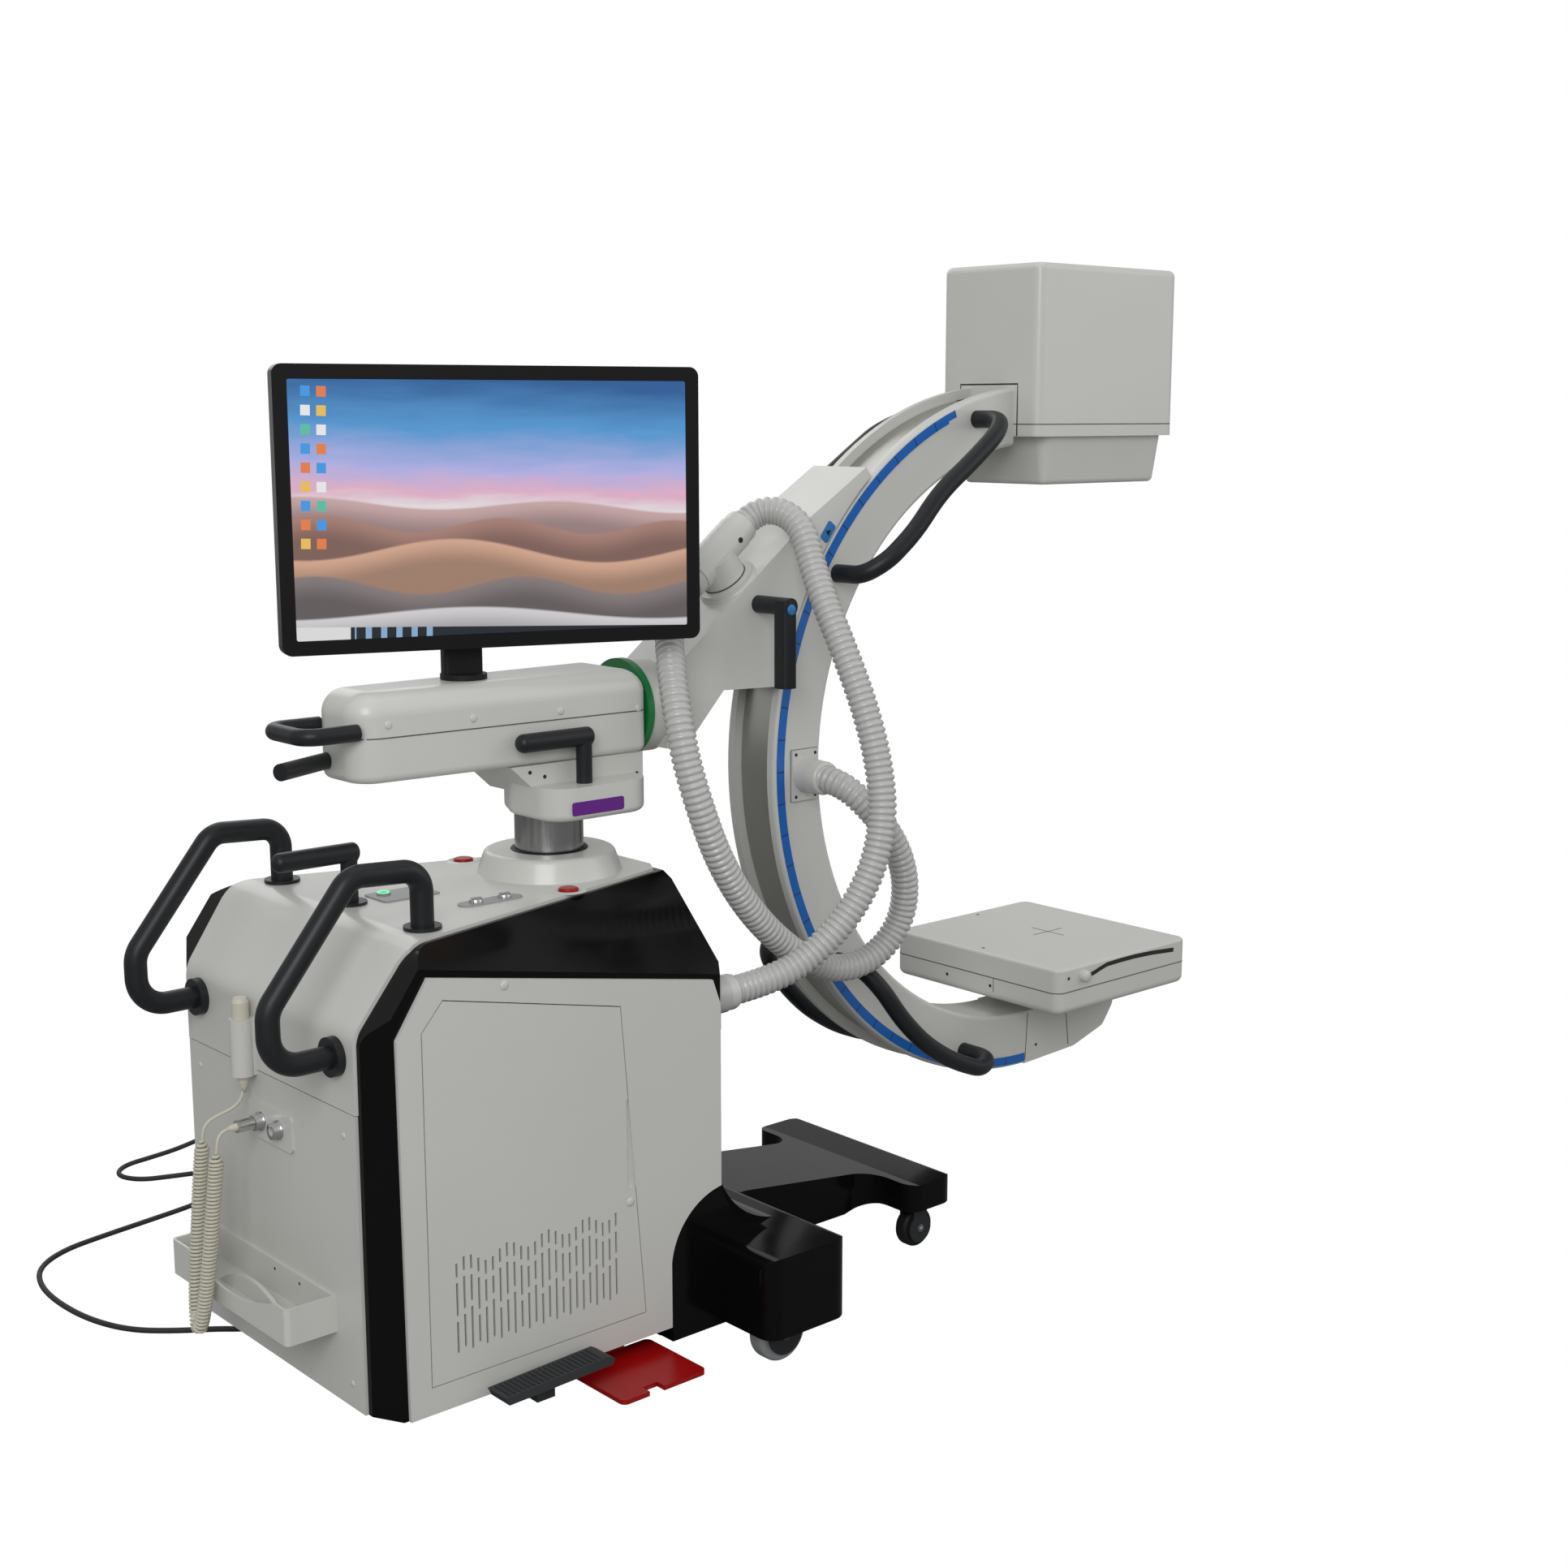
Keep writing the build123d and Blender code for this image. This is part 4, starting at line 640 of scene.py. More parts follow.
# The swivel for both hoses stands on the crank arm's upper slope
slope_low_x = 628.3
slope_low_z = 1010
slope_high_x = 919
slope_high_z = 1240
slope_low = place(slope_low_x, 0, slope_low_z)
slope = (place(slope_high_x, 0, slope_high_z) - slope_low).normalized()
slope_up = Vector((-slope.z, 0, slope.x))
swivel_x = 795
swivel_share = (swivel_x - slope_low_x) / (slope_high_x - slope_low_x)
swivel_z = slope_low_z + swivel_share * (slope_high_z - slope_low_z)
swivel_foot = place(swivel_x, -14, swivel_z)
pipe_centre = swivel_foot + slope_up * 0.054
upper_end = pipe_centre + slope * 0.062
lower_end = pipe_centre - slope * 0.044

# Routes of the hoses and cords, as in the model
hose_lead = 0.042
hose_cabinet_route = [
    *places(
        (602, -222, 548),
        (668, -222, 548),
        (742, -242, 570),
        (808, -268, 628),
        (856, -283, 702),
        (882, -284, 790),
        (886, -266, 880),
        (880, -238, 966),
        (874, -198, 1048),
        (873, -156, 1118),
        (880, -120, 1172),
        (886, -94, 1222),
        (882, -66, 1248),
        (868, -36, 1258),
    ),
    upper_end + slope * hose_lead,
    upper_end,
]
c_gland = ring_place(gland_radius, gland_angle, -95)
hose_c_route = [
    c_gland,
    c_gland + Vector((0, -0.048, 0)),
    *places(
        (948, -184, 784),
        (992, -198, 724),
        (1019, -198, 656),
        (1018, -188, 586),
        (976, -176, 534),
        (912, -166, 518),
        (844, -161, 538),
        (784, -160, 580),
        (728, -162, 630),
        (678, -166, 688),
        (638, -168, 752),
        (610, -166, 822),
        (594, -154, 892),
        (592, -138, 954),
        (606, -107, 1014),
        (634, -64, 1066),
        (666, -28, 1104),
    ),
    lower_end - slope * hose_lead,
    lower_end,
]
curly_route = places((-108, 16, 404), (-136, 18, 150), (-136, 60, 146), (-108, 58, 412))
lead_plug_route = places(
    (-77.3, 16, 434),
    (-92, 16, 434),
    (-102, 16.2, 429),
    (-107, 16, 418),
    (-108, 16, 404),
)
lead_switch_route = places(
    (-108, 58, 412),
    (-106.8, 58, 424),
    (-101, 57, 434.5),
    (-91, 54.5, 441),
    (-79, 51, 445.5),
    (-67, 47, 450.5),
    (-57.5, 43, 459),
    (-52, 40.6, 471),
    (-51, 40, 486),
)

# The mains cord's centre stays at one height where it lies on the floor
floor_z = 5
mains_route = places(
    (70, 226, 73),
    (70, 226, 50),
    (64, 240, 24),
    (50, 272, 9),
    (20, 312, floor_z),
    (-32, 348, floor_z),
    (-82, 396, floor_z),
    (-112, 470, floor_z),
    (-124, 560, floor_z),
    (-120, 650, floor_z),
    (-92, 726, floor_z),
    (-30, 772, floor_z),
    (50, 788, floor_z),
    (140, 802, floor_z),
    (230, 817, floor_z),
    (308, 842, floor_z),
    (352, 896, floor_z),
    (330, 956, floor_z),
    (268, 978, floor_z),
    (212, 1000, floor_z),
    (190, 1050, floor_z),
    (222, 1092, floor_z),
    (286, 1100, floor_z),
    (350, 1112, floor_z),
    (400, 1130, 6.5),
)

# One rib of a hose: shares of its pitch and of the hose's radius, from groove to groove
rib_profile = (
    (0.0, 0.865),
    (0.1, 0.875),
    (0.24, 0.965),
    (0.42, 1.0),
    (0.62, 1.0),
    (0.8, 0.965),
    (0.92, 0.875),
)
rib_steps = 20


def ribbed_hose(name, route, settings, near, far):
    """A corrugated hose: rounded ribs with narrow grooves, along the route's smooth line."""
    line = path_of(route)
    total = length_of(line)
    radius = settings.hose_radius
    ribs = round(total / settings.hose_pitch)
    spots = even(line, total / (ribs * rib_steps))
    radii = []
    picked = []
    for rib in range(ribs):
        for share, height in rib_profile:
            picked.append(spots[round((rib + share) * rib_steps)])
            radii.append(radius * height)
    picked.append(spots[-1])
    radii.append(radius * rib_profile[0][1])

    def fill(shape):
        sleeve(shape, frames_along(picked), radii, 28)

    made = form(name, fill, "hose", ((near, route[0]), (far, route[-1])))
    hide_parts(name.replace("ribbed_", ""))


class HoseOperator(Operator):
    """Make the two ribbed hoses between cabinet, swivel and C"""

    bl_idname = "carm.hoses"
    bl_label = "Hoses"

    def execute(self, context):
        settings = context.scene.carm_cords
        ribbed_hose("ribbed_hose_cabinet", hose_cabinet_route, settings, "chassis", "column")
        ribbed_hose("ribbed_hose_c", hose_c_route, settings, "c_arm", "crank")
        return {"FINISHED"}


class CurlyCordOperator(Operator):
    """Make the hand switch's curly cord with its two straight leads"""

    bl_idname = "carm.curly_cord"
    bl_label = "Curly cord"

    def execute(self, context):
        settings = context.scene.carm_cords
        wire = settings.curly_wire
        coil = settings.curly_radius - wire
        spacing = 1.12
        pitch = 2 * wire * spacing
        helix_step = 0.0006
        fade_length = 0.012
        least_fade = 0.05
        line = path_of(curly_route, 24)
        total = length_of(line)
        spots = even(line, helix_step)
        helix = []
        walked = 0.0
        for number, (spot, heading, side) in enumerate(frames_along(spots)):
            if number:
                walked += (spot - spots[number - 1]).length
            turn = math.tau * walked / pitch
            out = side * math.cos(turn) + heading.cross(side) * math.sin(turn)
            fade = min(1.0, walked / fade_length, (total - walked) / fade_length)
            helix.append(spot + out * coil * max(fade, least_fade))

        def fill(shape):
            sleeve(shape, frames_along(helix), [wire] * len(helix), 7)

        made = form("curly_wire", fill, "cream", "chassis")
        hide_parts("curly_cord")
        length_of(helix)
        for name, route in (("lead_plug", lead_plug_route), ("lead_switch", lead_switch_route)):
            lead = piece(name, spline_curve(name, route, wire, 12), "cream", "chassis")
            length_of(path_of(route))
            if name == "lead_plug":
                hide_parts("switch_leads")
        return {"FINISHED"}


class MainsCordOperator(Operator):
    """Make the mains cord that lies on the floor and ends in its plug"""

    bl_idname = "carm.mains_cord"
    bl_label = "Mains cord"

    def execute(self, context):
        radius = context.scene.carm_cords.mains_radius
        curve = spline_curve("mains_lead", mains_route, radius, 12)
        made = piece("mains_lead", curve, "cord_black", "chassis")
        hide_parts("mains_cord")
        length_of(path_of(mains_route))
        return {"FINISHED"}


# The nodes that take each finish
finish_of_nodes = {
    "white": (
        "top_cover arm_housing column_head slide_arm crank_arm c_profile tube_housing"
        " collimator_skirt detector detector_bracket hose_swivel rear_tray switch_cradle c_gland"
        " connector_plate"
    ),
    "white_panel": "rear_panel side_panel_right side_panel_left service_door",
    "black": "cabinet_body base_cover",
    "grip": (
        "push_rail_right push_rail_left steering_lever head_lever rear_grip brake_lever grab_rails"
    ),
    "bezel": "monitor_shell",
    "dull_black": (
        "monitor_neck steering_bogie mains_gland mains_plug"
        " castor_wheel_front_right castor_wheel_front_left"
    ),
    "pedal": "foot_pedal",
    "red": "lock_plate stop_buttons",
    "green": "angle_scale",
    "grey": "deck_controls",
    "steel": "lift_column",
    "track": "c_track",
    "bright": "switch_plug",
    "cream": "hand_switch",
    "hose": "cabinet_gland",
    "scale": "scale_strips",
    "tread": "castor_wheel_main_right castor_wheel_main_left rear_wheel_right rear_wheel_left",
    "hub": (
        "castor_fork_main_right castor_fork_main_left"
        " castor_fork_front_right castor_fork_front_left"
    ),
}


class FinishOperator(Operator):
    """Give every carried-over part its finish"""

    bl_idname = "carm.finishes"
    bl_label = "Finishes"

    def execute(self, context):
        global finishes
        finishes = Finishes(context.scene.carm_surfaces)
        for finish, nodes in finish_of_nodes.items():
            for node in nodes.split():
                paint(node, getattr(finishes, finish))
        return {"FINISHED"}


def screen_axes(shader):
    """Across and up the turned screen, each from -1 at one edge to 1 at the other."""
    low, high = (Vector(corner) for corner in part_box("monitor_screen"))
    centre = (low + high) / 2
    # The monitor's turn and tilt, and half the lit part's size, as in the model
    yaw = math.radians(-15.7)
    roll = math.radians(-1.9)
    half_width = 0.289
    half_height = 0.178
    x, y, z = shader.axes()
    flat = (x - centre.x) * math.cos(yaw) + (y - centre.y) * math.sin(yaw)
    rise = z - centre.z
    u = flat * math.cos(roll) + rise * math.sin(roll)
    v = rise * math.cos(roll) - flat * math.sin(roll)
    return u / half_width, v / half_height


def landscape(shader, across, up):
    """Soft sky bands with a pale horizon, and rolling dunes in front of them."""
    sky_stops = (
        (0.0, (0.75, 0.7, 0.72)),
        (0.12, (0.72, 0.42, 0.55)),
        (0.3, (0.42, 0.42, 0.75)),
        (0.62, (0.08, 0.3, 0.62)),
        (1.0, (0.015, 0.1, 0.3)),
    )
    height = up + (shader.noise(9.0, 4.0, (1, 1, 6)) - 0.5) * 0.22
    shade = shader.node("ShaderNodeValToRGB", {"stops": sky_stops}, {0: height}).value("Color")
    # Each dune: level and swing of its ridge, its waves and their shift, its colour
    dunes = (
        (0.02, 0.04, 5.0, 0.0, (0.3, 0.2, 0.2)),
        (-0.14, 0.06, 7.0, 1.3, (0.2, 0.11, 0.09)),
        (-0.34, 0.09, 4.2, 2.4, (0.34, 0.2, 0.14)),
        (-0.62, 0.07, 6.1, 0.7, (0.12, 0.1, 0.1)),
        (-0.84, 0.05, 3.3, 1.9, (0.34, 0.33, 0.34)),
    )
    for level, swing, waves, shift, color in dunes:
        ridge = (across * waves + shift).passed("SINE") * swing + level
        below = ridge - up
        cover = shader.smooth(-0.012, 0.012, below)
        crest = tuple(min(1, channel * 1.9) for channel in color)
        lit = shader.mix(shader.smooth(-0.02, 0.2, below), crest, color)
        shade = shader.mix(cover, shade, lit)
    return shade


def tiles_over(shader, across, up, shade):
    """Two columns of plain coloured tiles at the left and a dark bar along the bottom."""
    tile_width = 0.075
    tile_height = 0.145
    column = (across + 0.97) / tile_width
    row = (0.93 - up) / tile_height
    in_column = column.passed("FRACT")
    in_row = row.passed("FRACT")
    inside = (in_column > 0.2) * (in_column < 0.8) * (in_row > 0.2) * (in_row < 0.75)
    field = (column > 0.0) * (column < 2.0) * (row > 0.0) * (row < 9.0)
    pick = (row.passed("FLOOR") * 0.37 + column.passed("FLOOR") * 0.53).passed("FRACT")
    tile_stops = (
        (0.0, (0.05, 0.3, 0.75)),
        (0.25, (0.8, 0.8, 0.82)),
        (0.45, (0.75, 0.2, 0.06)),
        (0.65, (0.1, 0.5, 0.35)),
        (0.82, (0.8, 0.5, 0.1)),
    )
    settings = {"steps": "CONSTANT", "stops": tile_stops}
    tile_color = shader.node("ShaderNodeValToRGB", settings, {0: pick}).value("Color")
    shade = shader.mix(inside * field, shade, tile_color)
    bar = up < -0.945
    in_bar = bar * (in_column > 0.3) * (in_column < 0.7) * (across > -0.7) * (across < -0.3)
    shade = shader.mix(bar, shade, (0.01, 0.014, 0.02))
    shade = shader.mix(in_bar, shade, (0.25, 0.4, 0.6))
    return shader.mix(bar * (across > -0.98) * (across < -0.72), shade, (0.7, 0.7, 0.7))


def screen_picture():
    """The lit screen with a calm generic picture."""
    shader = Shader("screen picture")
    across, up = screen_axes(shader)
    shader.set(
        Base_Color=(0.01, 0.01, 0.012),
        Emission_Color=tiles_over(shader, across, up, landscape(shader, across, up)),
        Emission_Strength=0.95,
        Roughness=0.18,
    )
    return shader.material


# Small trims
def plan(rear, front, rear_half, front_half):
    """Corners of an upright shell seen from above, counterclockwise."""
    return ((rear, -rear_half), (front, -front_half), (front, front_half), (rear, rear_half))


def rounded(corners, bends, steps=6):
    """A closed flat outline, counterclockwise, with its corners rounded."""
    outline = []
    for number, (corner, bend) in enumerate(zip(corners, bends)):
        corner = Vector(corner)
        back = (Vector(corners[number - 1]) - corner).normalized()
        ahead = (Vector(corners[(number + 1) % len(corners)]) - corner).normalized()
        half = back.angle(ahead) / 2
        centre = corner + (back + ahead).normalized() * bend / math.sin(half)
        start = corner + back * bend / math.tan(half) - centre
        finish = corner + ahead * bend / math.tan(half) - centre
        for step in range(steps + 1):
            outline.append(centre + start.lerp(finish, step / steps).normalized() * bend)
    return outline


def band(name, outline, z, body, height=1.8, lift=0.4):
    """A grey seam line round an upright outline, all in millimetres."""
    levels = (z - height / 2, z + height / 2)

    def fill(shape):
        lows = []
        highs = []
        for number, spot in enumerate(outline):
            heading = outline[(number + 1) % len(outline)] - outline[number - 1]
            out = spot + Vector((heading.y, -heading.x)).normalized() * lift
            low, high = (shape.verts.new(place(out.x, out.y, level)) for level in levels)
            lows.append(low)
            highs.append(high)
        wall(shape, lows, highs)

    form(name, fill, "mid_grey", body)


def studs(name, spots, axis, radius, height, body, finish="shadow"):
    """Screw heads or caps, all with one axis."""
    profile = ((-0.0004, radius), (height * 0.6, radius), (height, radius * 0.75), (height, 0))

    def fill(shape):
        for spot in spots:
            turned(shape, spot, axis, profile, 20)

    form(name, fill, finish, body)


def ring_form(name, centre, axis, profile, finish, body, segments=40):
    """One turned form."""

    def fill(shape):
        turned(shape, centre, axis, profile, segments)

    form(name, fill, finish, body)


def lines_on(name, lines, normal, width, body, finish="shadow", lift=0.0004):
    """Thin lines that lie on a surface."""

    def fill(shape):
        for line in lines:
            strip(shape, line, normal, width, lift)

    form(name, fill, finish, body, smooth=False)


def housing_side(x):
    """Half the arm housing's width at a place along it."""
    widening = housing_front_half - housing_rear_half
    return housing_rear_half + (x - housing_rear) * widening / (housing_front - housing_rear)


class ShellTrimOperator(Operator):
    """Make the shells' seams, caps and screws, the door's finger pocket and the head's label"""

    bl_idname = "carm.shell_trims"
    bl_label = "Shell trims"

    def execute(self, context):
        housing = plan(housing_rear, housing_front, housing_rear_half, housing_front_half)
        band("housing_seam", rounded(housing, (40, 16, 16, 40)), 967, "head")
        tube = plan(tube_rear, tube_front, tube_half, tube_half)
        band("tube_seam", rounded(tube, (18, 17, 17, 18)), 1390, "c_arm")
        housing_caps = ((138, 985), (274, 982), (422, 979), (562, 971))
        neck_half = 70
        neck_screws = ((368, 893), (394, 884), (564, 870))
        panel_caps = {"right": ((164, 657),), "left": ((164, 662), (370, 299), (500, 420))}
        for side, hand in sides:
            out = Vector((0, side, 0))
            spots = [place(x, side * housing_side(x), z) for x, z in housing_caps]
            studs(f"housing_caps_{hand}", spots, out, 0.0055, 0.0016, "head", "white")
            spots = [place(x, side * neck_half, z) for x, z in neck_screws]
            studs(f"neck_screws_{hand}", spots, out, 0.003, 0.0008, "head")
            spots = [place(x, side * cabinet_half, z) for x, z in panel_caps[hand]]
            studs(f"panel_caps_{hand}", spots, out, 0.006, 0.0018, "chassis", "white")
        spots = [place(370, -cabinet_half, 299)]
        studs("door_cap", spots, rightward, 0.006, 0.0018, "door", "white")

        def pocket(shape):
            depth_y = -291
            corners = ((364, 453), (372, 453), (383, 319), (364.5, 319))
            shape.faces.new([shape.verts.new(place(x, depth_y, z)) for x, z in corners])

        form("door_pocket", pocket, "white", "door", smooth=False)

        def label(shape):
            slab(shape, place(450, -125, 841), forward, upward, 0.094, 0.02, 0.0008, 0.004)

        form("head_label", label, "purple", "head", smooth=False)
        entry_corners = ((-68, 1370), (-68, 1459), (68, 1459), (68, 1370))
        entry = [place(tube_rear, y, z) for y, z in entry_corners]
        lines_on("tube_entry_edge", [entry], rearward, 0.003, "c_arm")
        return {"FINISHED"}


class ArmTrimOperator(Operator):
    """Make the C's scales, pointer and seams, the gland's screws and the swivel's rings and cuffs"""

    bl_idname = "carm.arm_trims"
    bl_label = "Arm trims"

    def execute(self, context):
        band_radius = 607
        band_angles = range(112, 271, 2)
        channel_radius = 603
        pointer_radius = 636
        pointer_angle = 142.9
        turn = math.radians(pointer_angle)
        spot = ring_place(pointer_radius, pointer_angle, -64)
        radial = Vector((math.cos(turn), 0, math.sin(turn)))
        tangent = Vector((math.sin(turn), 0, -math.cos(turn)))

        def pointer(shape):
            slab(shape, spot, tangent, radial, 0.034, 0.019, 0.0008, 0.004)

        def mark(shape):
            corners = ((0.006, -0.003), (-0.002, 0.0055), (-0.005, -0.0045))
            face = spot + Vector((0, -0.0011, 0))
            shape.faces.new([shape.verts.new(face + tangent * u + radial * v) for u, v in corners])

        form("scale_pointer", pointer, "blue", "crank", smooth=False)
        form("pointer_mark", mark, "dull_black", "crank", smooth=False)
        studs("brake_cap", [place(815, -143, 1108)], rightward, 0.0085, 0.0018, "crank", "blue")
        for side, hand in sides:
            arc = [ring_place(band_radius, angle, side * c_half) for angle in band_angles]
            lines_on(f"scale_band_{hand}", [arc], (0, side, 0), 0.016, "c_arm", "scale", 0.00095)
        # A dark strip on the channel floor just below the tube: painted shadow under the tube's
        # entry
        shade = [ring_place(channel_radius, angle, 0) for angle in (96.2, 98, 100)]
        lines_on("channel_shade", [shade], (-0.14, 0, 0.99), 0.081, "c_arm", "dull_black")
        plate = ring_place(gland_radius, gland_angle, -65)
        corners = ((-21, -35), (21, -35), (21, 35), (-21, 35))
        screws = [plate + Vector((x, 0, z)) / 1000 for x, z in corners]
        studs("gland_screws", screws, rightward, 0.0028, 0.0008, "c_arm")
        foot = ring_place(gland_radius, gland_angle, -c_half)
        edge = [foot + Vector((x * 1.36, 0, z * 1.22)) / 1000 for x, z in corners]
        lines_on("gland_edge", [edge + edge[:1]], rightward, 0.0012, "c_arm")
        bracket_seams = [
            places((1585, -c_half, 316), (1596, -c_half, 228)),
            places((1479, -c_half, 312), (1474, -c_half, 222)),
        ]
        lines_on("bracket_seams", bracket_seams, rightward, 0.0014, "c_arm")
        studs("bracket_screws", [place(1504, -c_half, 246)], rightward, 0.0028, 0.0008, "c_arm")
        collar = ((0, 0.05), (0.004, 0.05), (0.004, 0.0475))
        ring_form("swivel_foot_ring", swivel_foot, slope_up, collar, "white", "crank")
        groove = ((0.0118, 0.0368), (0.0136, 0.0368), (0.0136, 0.0355))
        ring_form("swivel_groove", swivel_foot, slope_up, groove, "shadow", "crank")
        pipe_side = pipe_centre + slope * 0.045 + Vector((0, -0.029, 0))
        studs("swivel_screw", [pipe_side], rightward, 0.0045, 0.0008, "crank")
        cuff = ((-0.001, 0.0275), (0.016, 0.0275), (0.02, 0.0262), (0.02, 0.0215))
        ring_form("cuff_upper", upper_end, slope, cuff, "white", "crank")
        ring_form("cuff_lower", lower_end, -slope, cuff, "white", "crank")
        ring_form("cuff_cabinet", hose_cabinet_route[0], forward, cuff, "white", "chassis")
        ring_form("cuff_c", c_gland, rightward, cuff, "white", "c_arm")
        return {"FINISHED"}


class DeckTrimOperator(Operator):
    """Make the deck's button ring, key locks, stop button rims and column seal"""

    bl_idname = "carm.deck_trims"
    bl_label = "Deck trims"

    def execute(self, context):
        button = place(166, 12, 731)
        light = ((0.0002, 0.0066), (0.0008, 0.0068), (0.0008, 0.0088), (0.0002, 0.009))
        ring_form("button_light", button, upward, light, "led", "chassis")
        key = (
            (-0.001, 0.0098),
            (0.0046, 0.0098),
            (0.0056, 0.0086),
            (0.0056, 0.0035),
            (0.0046, 0.003),
            (0.0046, 0),
        )
        key_spots = places((238, -118, 728), (286, -118, 728))
        for number, spot in enumerate(key_spots):
            ring_form(f"key_lock_{number}", spot, upward, key, "bright", "chassis")
        rim = ((-0.0002, 0.027), (0.0012, 0.024), (0.0016, 0.0195), (0.0002, 0.0158))
        stop_x = 384
        stop_half = 138
        for side, hand in sides:
            spot = place(stop_x, side * stop_half, deck_z)
            ring_form(f"stop_rim_{hand}", spot, upward, rim, "white", "chassis")
        collar_top = place(449, 0, 760)
        seal = ((-0.0002, 0.059), (0.002, 0.0575), (0.002, 0.0528))
        ring_form("column_seal", collar_top, upward, seal, "dull_black", "chassis")
        return {"FINISHED"}


class DetectorTrimOperator(Operator):
    """Make the detector's cross, marks, seams, screws and release"""

    bl_idname = "carm.detector_trims"
    bl_label = "Detector trims"

    def execute(self, context):
        top = detector_top
        cross = [
            places((1560, 0, top), (1640, 0, top)),
            places((1600, -40, top), (1600, 40, top)),
        ]
        lines_on("detector_cross", cross, upward, 0.0014, "c_arm")
        dots = places((1417, -3, top), (1600, 182, top))
        studs("detector_dots", dots, upward, 0.0035, 0.0005, "c_arm", "red")
        shell = plan(detector_rear, detector_front, detector_half, detector_half)
        band("detector_seam", rounded(shell, (20, 20, 20, 20)), 392, "c_arm")
        joint = places((detector_rear, -50, 391), (detector_rear, -50, 366))
        lines_on("detector_joint", [joint], rearward, 0.0012, "c_arm")
        rear_screws = places((detector_rear, 67, 376), (detector_rear, -42, 376))
        studs("detector_screws_rear", rear_screws, rearward, 0.003, 0.0008, "c_arm")
        side_screw = place(1424, -detector_half, 417)
        studs("detector_screw_side", [side_screw], rightward, 0.003, 0.0008, "c_arm")
        knob = ((-0.001, 0.0105), (0.009, 0.0105), (0.012, 0.008), (0.012, 0))
        knob_spot = place(1464, -detector_half, 416)
        ring_form("release_knob", knob_spot, rightward, knob, "white", "c_arm", 28)
        wave = (
            (1478, 413),
            (1494, 416),
            (1512, 421),
            (1530, 425),
            (1570, 426),
            (1610, 426),
            (1660, 424),
            (1722, 419),
        )
        slot = [place(x, -detector_half, z) for x, z in wave]
        lines_on("release_slot", [slot], rightward, 0.008, "c_arm")
        return {"FINISHED"}


class RunningTrimOperator(Operator):
    """Make the castors' caps and bolts, the pedal's ribs and the rear's screws and caps"""

    bl_idname = "carm.running_trims"
    bl_label = "Running gear trims"

    def execute(self, context):
        # Each kind: its axle's place, how far out the axle ends and its cap's radius
        castors = (
            ("main", (613, 336, 45), 21.5, 0.0095),
            ("front", (1079, 163, 34), 17.5, 0.007),
        )
        cap_height = 0.0022
        pedal_rear = 112
        pedal_length = 174
        pedal_z = 104
        for kind, (x, y, z), reach, radius in castors:
            for side, hand in sides:
                out = Vector((0, side, 0))
                spot = place(x, side * (y + reach), z)
                fork = f"{kind}_fork_{hand}"
                studs(f"{kind}_hub_{hand}", [spot], out, radius, cap_height, fork, "mid_grey")
                bolt = spot + out * cap_height
                studs(f"{kind}_bolt_{hand}", [bolt], out, radius * 0.5, 0.0012, fork, "bright")

        def ribs(shape):
            """Ribs across the pedal, whose top rises 6 mm over its length."""
            for x in range(122, 282, 8):
                level = pedal_z + (x - pedal_rear) * 6 / pedal_length
                spot = place(x, -330, level)
                slab(shape, spot, forward, (0, 1, 0), 0.0036, 0.036, 0.0009, 0.0008, 2)

        form("pedal_ribs", ribs, "grip", "chassis", smooth=False)
        tray_screws = places((-39, -5, 222), (-39, -75, 222))
        studs("tray_screws", tray_screws, rearward, 0.0022, 0.0006, "chassis")
        rear_caps = [place(rear_face, y, z) for y in (-205, 205) for z in (470, 120)]
        studs("rear_caps", rear_caps, rearward, 0.0045, 0.0014, "chassis", "white")
        return {"FINISHED"}


class FittingOperator(Operator):
    """Make the socket sleeves and the cords' strain reliefs"""

    bl_idname = "carm.fittings"
    bl_label = "Fittings"

    def execute(self, context):
        sleeve_form = (
            (0, 0.0138),
            (0.003, 0.0138),
            (0.0035, 0.0116),
            (0.0122, 0.0116),
            (0.0122, 0.0065),
        )
        socket_spots = places((-39, 16, 434), (-39, -34, 434))
        for number, spot in enumerate(socket_spots):
            ring_form(f"socket_sleeve_{number}", spot, rearward, sleeve_form, "bright", "chassis")
        relief = ((-0.001, 0.006), (0.003, 0.0055), (0.013, 0.0032), (0.013, 0))
        mains = ((-0.001, 0.009), (0.003, 0.0085), (0.019, 0.0056), (0.019, 0))
        plug_end = lead_plug_route[0]
        switch_end = lead_switch_route[-1]
        ring_form("plug_relief", plug_end, rearward, relief, "cream", "chassis", 24)
        ring_form("switch_relief", switch_end, (0.07, 0.04, -1), relief, "cream", "chassis", 24)
        ring_form("mains_relief", mains_route[0], (0, 0, -1), mains, "cord_black", "chassis", 24)
        return {"FINISHED"}


class MonitorOperator(Operator):
    """Put the picture on the screen"""

    bl_idname = "carm.monitor"
    bl_label = "Monitor"

    def execute(self, context):
        paint("monitor_screen", screen_picture())
        return {"FINISHED"}


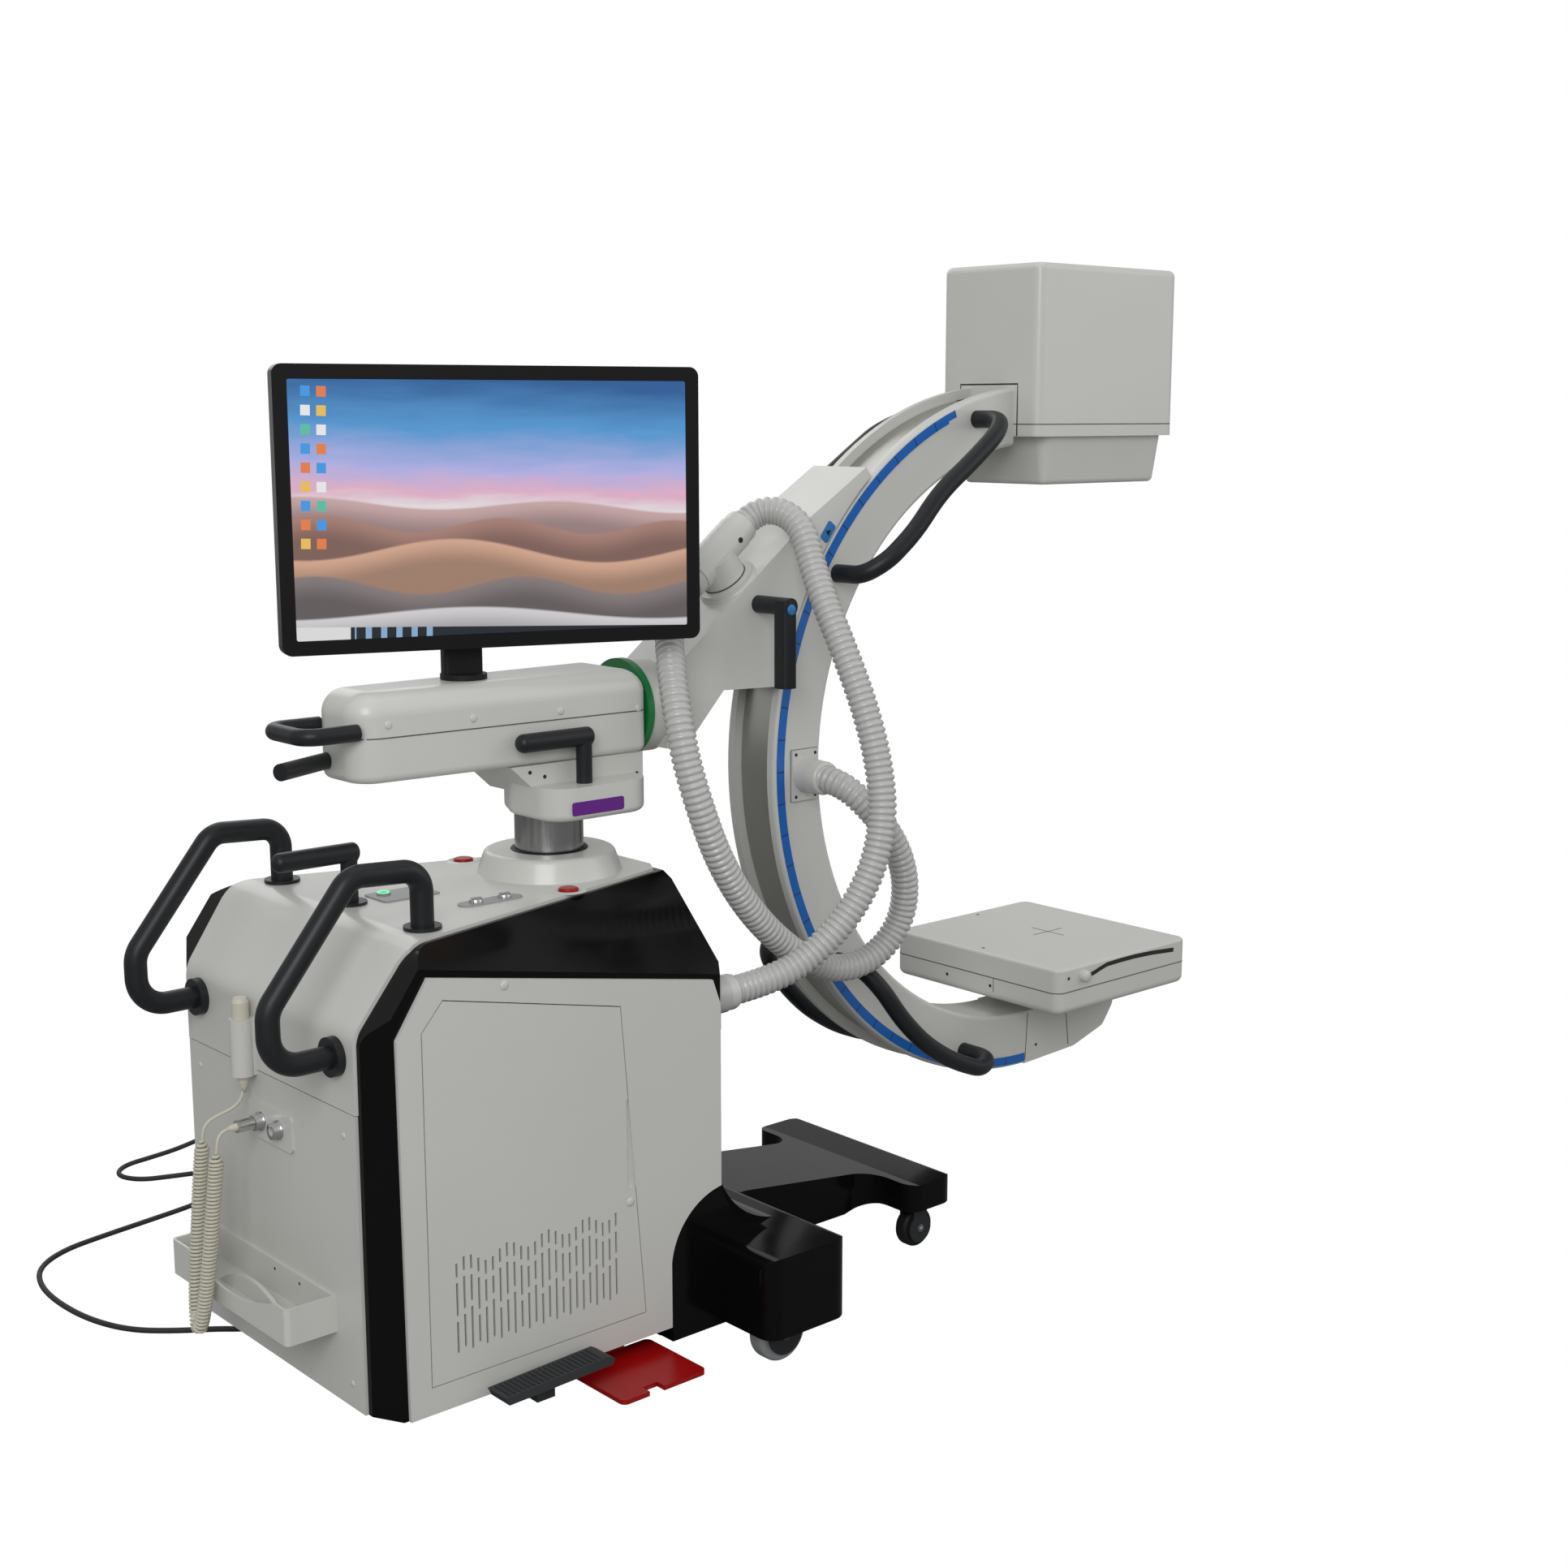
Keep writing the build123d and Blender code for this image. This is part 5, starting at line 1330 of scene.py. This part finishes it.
class StageOperator(Operator):
    """Set the floor, the lights, the world and the camera"""

    bl_idname = "carm.stage"
    bl_label = "Stage"

    def execute(self, context):
        scene = context.scene
        scene.view_settings.view_transform = "Standard"
        self.add_camera(scene)
        self.add_floor(scene)
        self.add_lights(scene)
        self.add_world(scene)
        return {"FINISHED"}

    def add_camera(self, scene):
        camera = bpy.data.objects.new("camera", bpy.data.cameras.new("camera"))
        camera.data.lens = scene.carm_stage.camera_lens
        camera.data.sensor_width = 36.0
        camera.location = place(-1357, -2563, 1410)
        quarter = math.radians(90)
        yaw = math.radians(48.3)
        pitch = math.radians(10.06)
        camera.rotation_euler = (quarter - pitch, 0, yaw - quarter)
        scene.collection.objects.link(camera)
        scene.camera = camera

    def add_floor(self, scene):
        def fill(shape):
            half = 14.0
            corners = ((-half, -half), (half, -half), (half, half), (-half, half))
            shape.faces.new([shape.verts.new((x, y, -0.0004)) for x, y in corners])

        floor = bpy.data.objects.new("floor", mesh_of("floor", fill))
        scene.collection.objects.link(floor)
        floor.data.materials.append(self.backdrop())

    def backdrop(self):
        """White to the camera, and a plain matt floor to all other light."""
        shader = Shader("floor white")
        shader.set(Base_Color=(0.3, 0.3, 0.3), Roughness=0.9, Specular_IOR_Level=0.1)
        rays = shader.node("ShaderNodeLightPath")
        glow = shader.node("ShaderNodeEmission", None, {"Strength": 1.0})
        matt = Value(shader, shader.surface.outputs[0])
        inputs = {0: rays.value("Is Camera Ray"), 1: matt, 2: glow.value(0)}
        mixer = shader.node("ShaderNodeMixShader", None, inputs)
        shader.feed(shader.tree.nodes["Material Output"].inputs["Surface"], mixer.value(0))
        return shader.material

    def add_lights(self, scene):
        key = scene.carm_stage.key_power
        fill = scene.carm_stage.fill_power
        lights = (
            ("key", (-3.3, -3.1, 2.9), 2.6, key),
            ("fill", (2.9, -2.8, 2.5), 3.2, fill),
            ("back", (0.8, 3.6, 3.2), 3.0, fill * 1.2),
            ("top", (0.1, 0.0, 4.2), 3.4, fill * 0.7),
        )
        for name, spot, size, power in lights:
            lamp = bpy.data.lights.new(name, "AREA")
            lamp.shape = "DISK"
            lamp.size = size
            lamp.energy = power
            holder = bpy.data.objects.new(name, lamp)
            holder.location = spot
            aim = Vector((0, 0, 0.7)) - Vector(spot)
            holder.rotation_euler = aim.to_track_quat("-Z", "Y").to_euler()
            scene.collection.objects.link(holder)

    def add_world(self, scene):
        """White, at half strength for all but the camera."""
        world = bpy.data.worlds.new("studio")
        scene.world = world
        world.use_nodes = True
        tree = world.node_tree
        background = tree.nodes["Background"]
        rays = tree.nodes.new("ShaderNodeLightPath")
        strength = tree.nodes.new("ShaderNodeMapRange")
        strength.inputs["To Min"].default_value = 0.5
        strength.inputs["To Max"].default_value = 1.0
        tree.links.new(rays.outputs["Is Camera Ray"], strength.inputs["Value"])
        background.inputs["Color"].default_value = (1, 1, 1, 1)
        tree.links.new(strength.outputs["Result"], background.inputs["Strength"])


class CarmPanel(Panel):
    """Lists the pieces of the C-arm dresser"""

    bl_idname = "VIEW3D_PT_carm"
    bl_label = "Mobile C-arm"
    bl_space_type = "VIEW_3D"
    bl_region_type = "UI"
    bl_category = "C-arm"

    def draw(self, context):
        layout = self.layout
        for name in groups:
            group = getattr(context.scene, name)
            box = layout.box()
            for key in group.__annotations__:
                box.prop(group, key)
        for operator in operators:
            layout.operator(operator.bl_idname)


groups = {
    "carm_surfaces": SurfaceSettings,
    "carm_cords": CordSettings,
    "carm_stage": StageSettings,
}
operators = (
    StageOperator,
    FinishOperator,
    HoseOperator,
    CurlyCordOperator,
    MainsCordOperator,
    MonitorOperator,
    ShellTrimOperator,
    ArmTrimOperator,
    DeckTrimOperator,
    DetectorTrimOperator,
    RunningTrimOperator,
    FittingOperator,
)
classes = (*groups.values(), *operators, CarmPanel)


def register():
    for entry in classes:
        bpy.utils.register_class(entry)
    for name, group in groups.items():
        setattr(bpy.types.Scene, name, PointerProperty(type=group))


def unregister():
    for name in groups:
        delattr(bpy.types.Scene, name)
    for entry in reversed(classes):
        bpy.utils.unregister_class(entry)


def main():
    register()
    for operator in operators:
        group, name = operator.bl_idname.split(".")
        getattr(getattr(bpy.ops, group), name)()


if __name__ == "__main__":
    main()
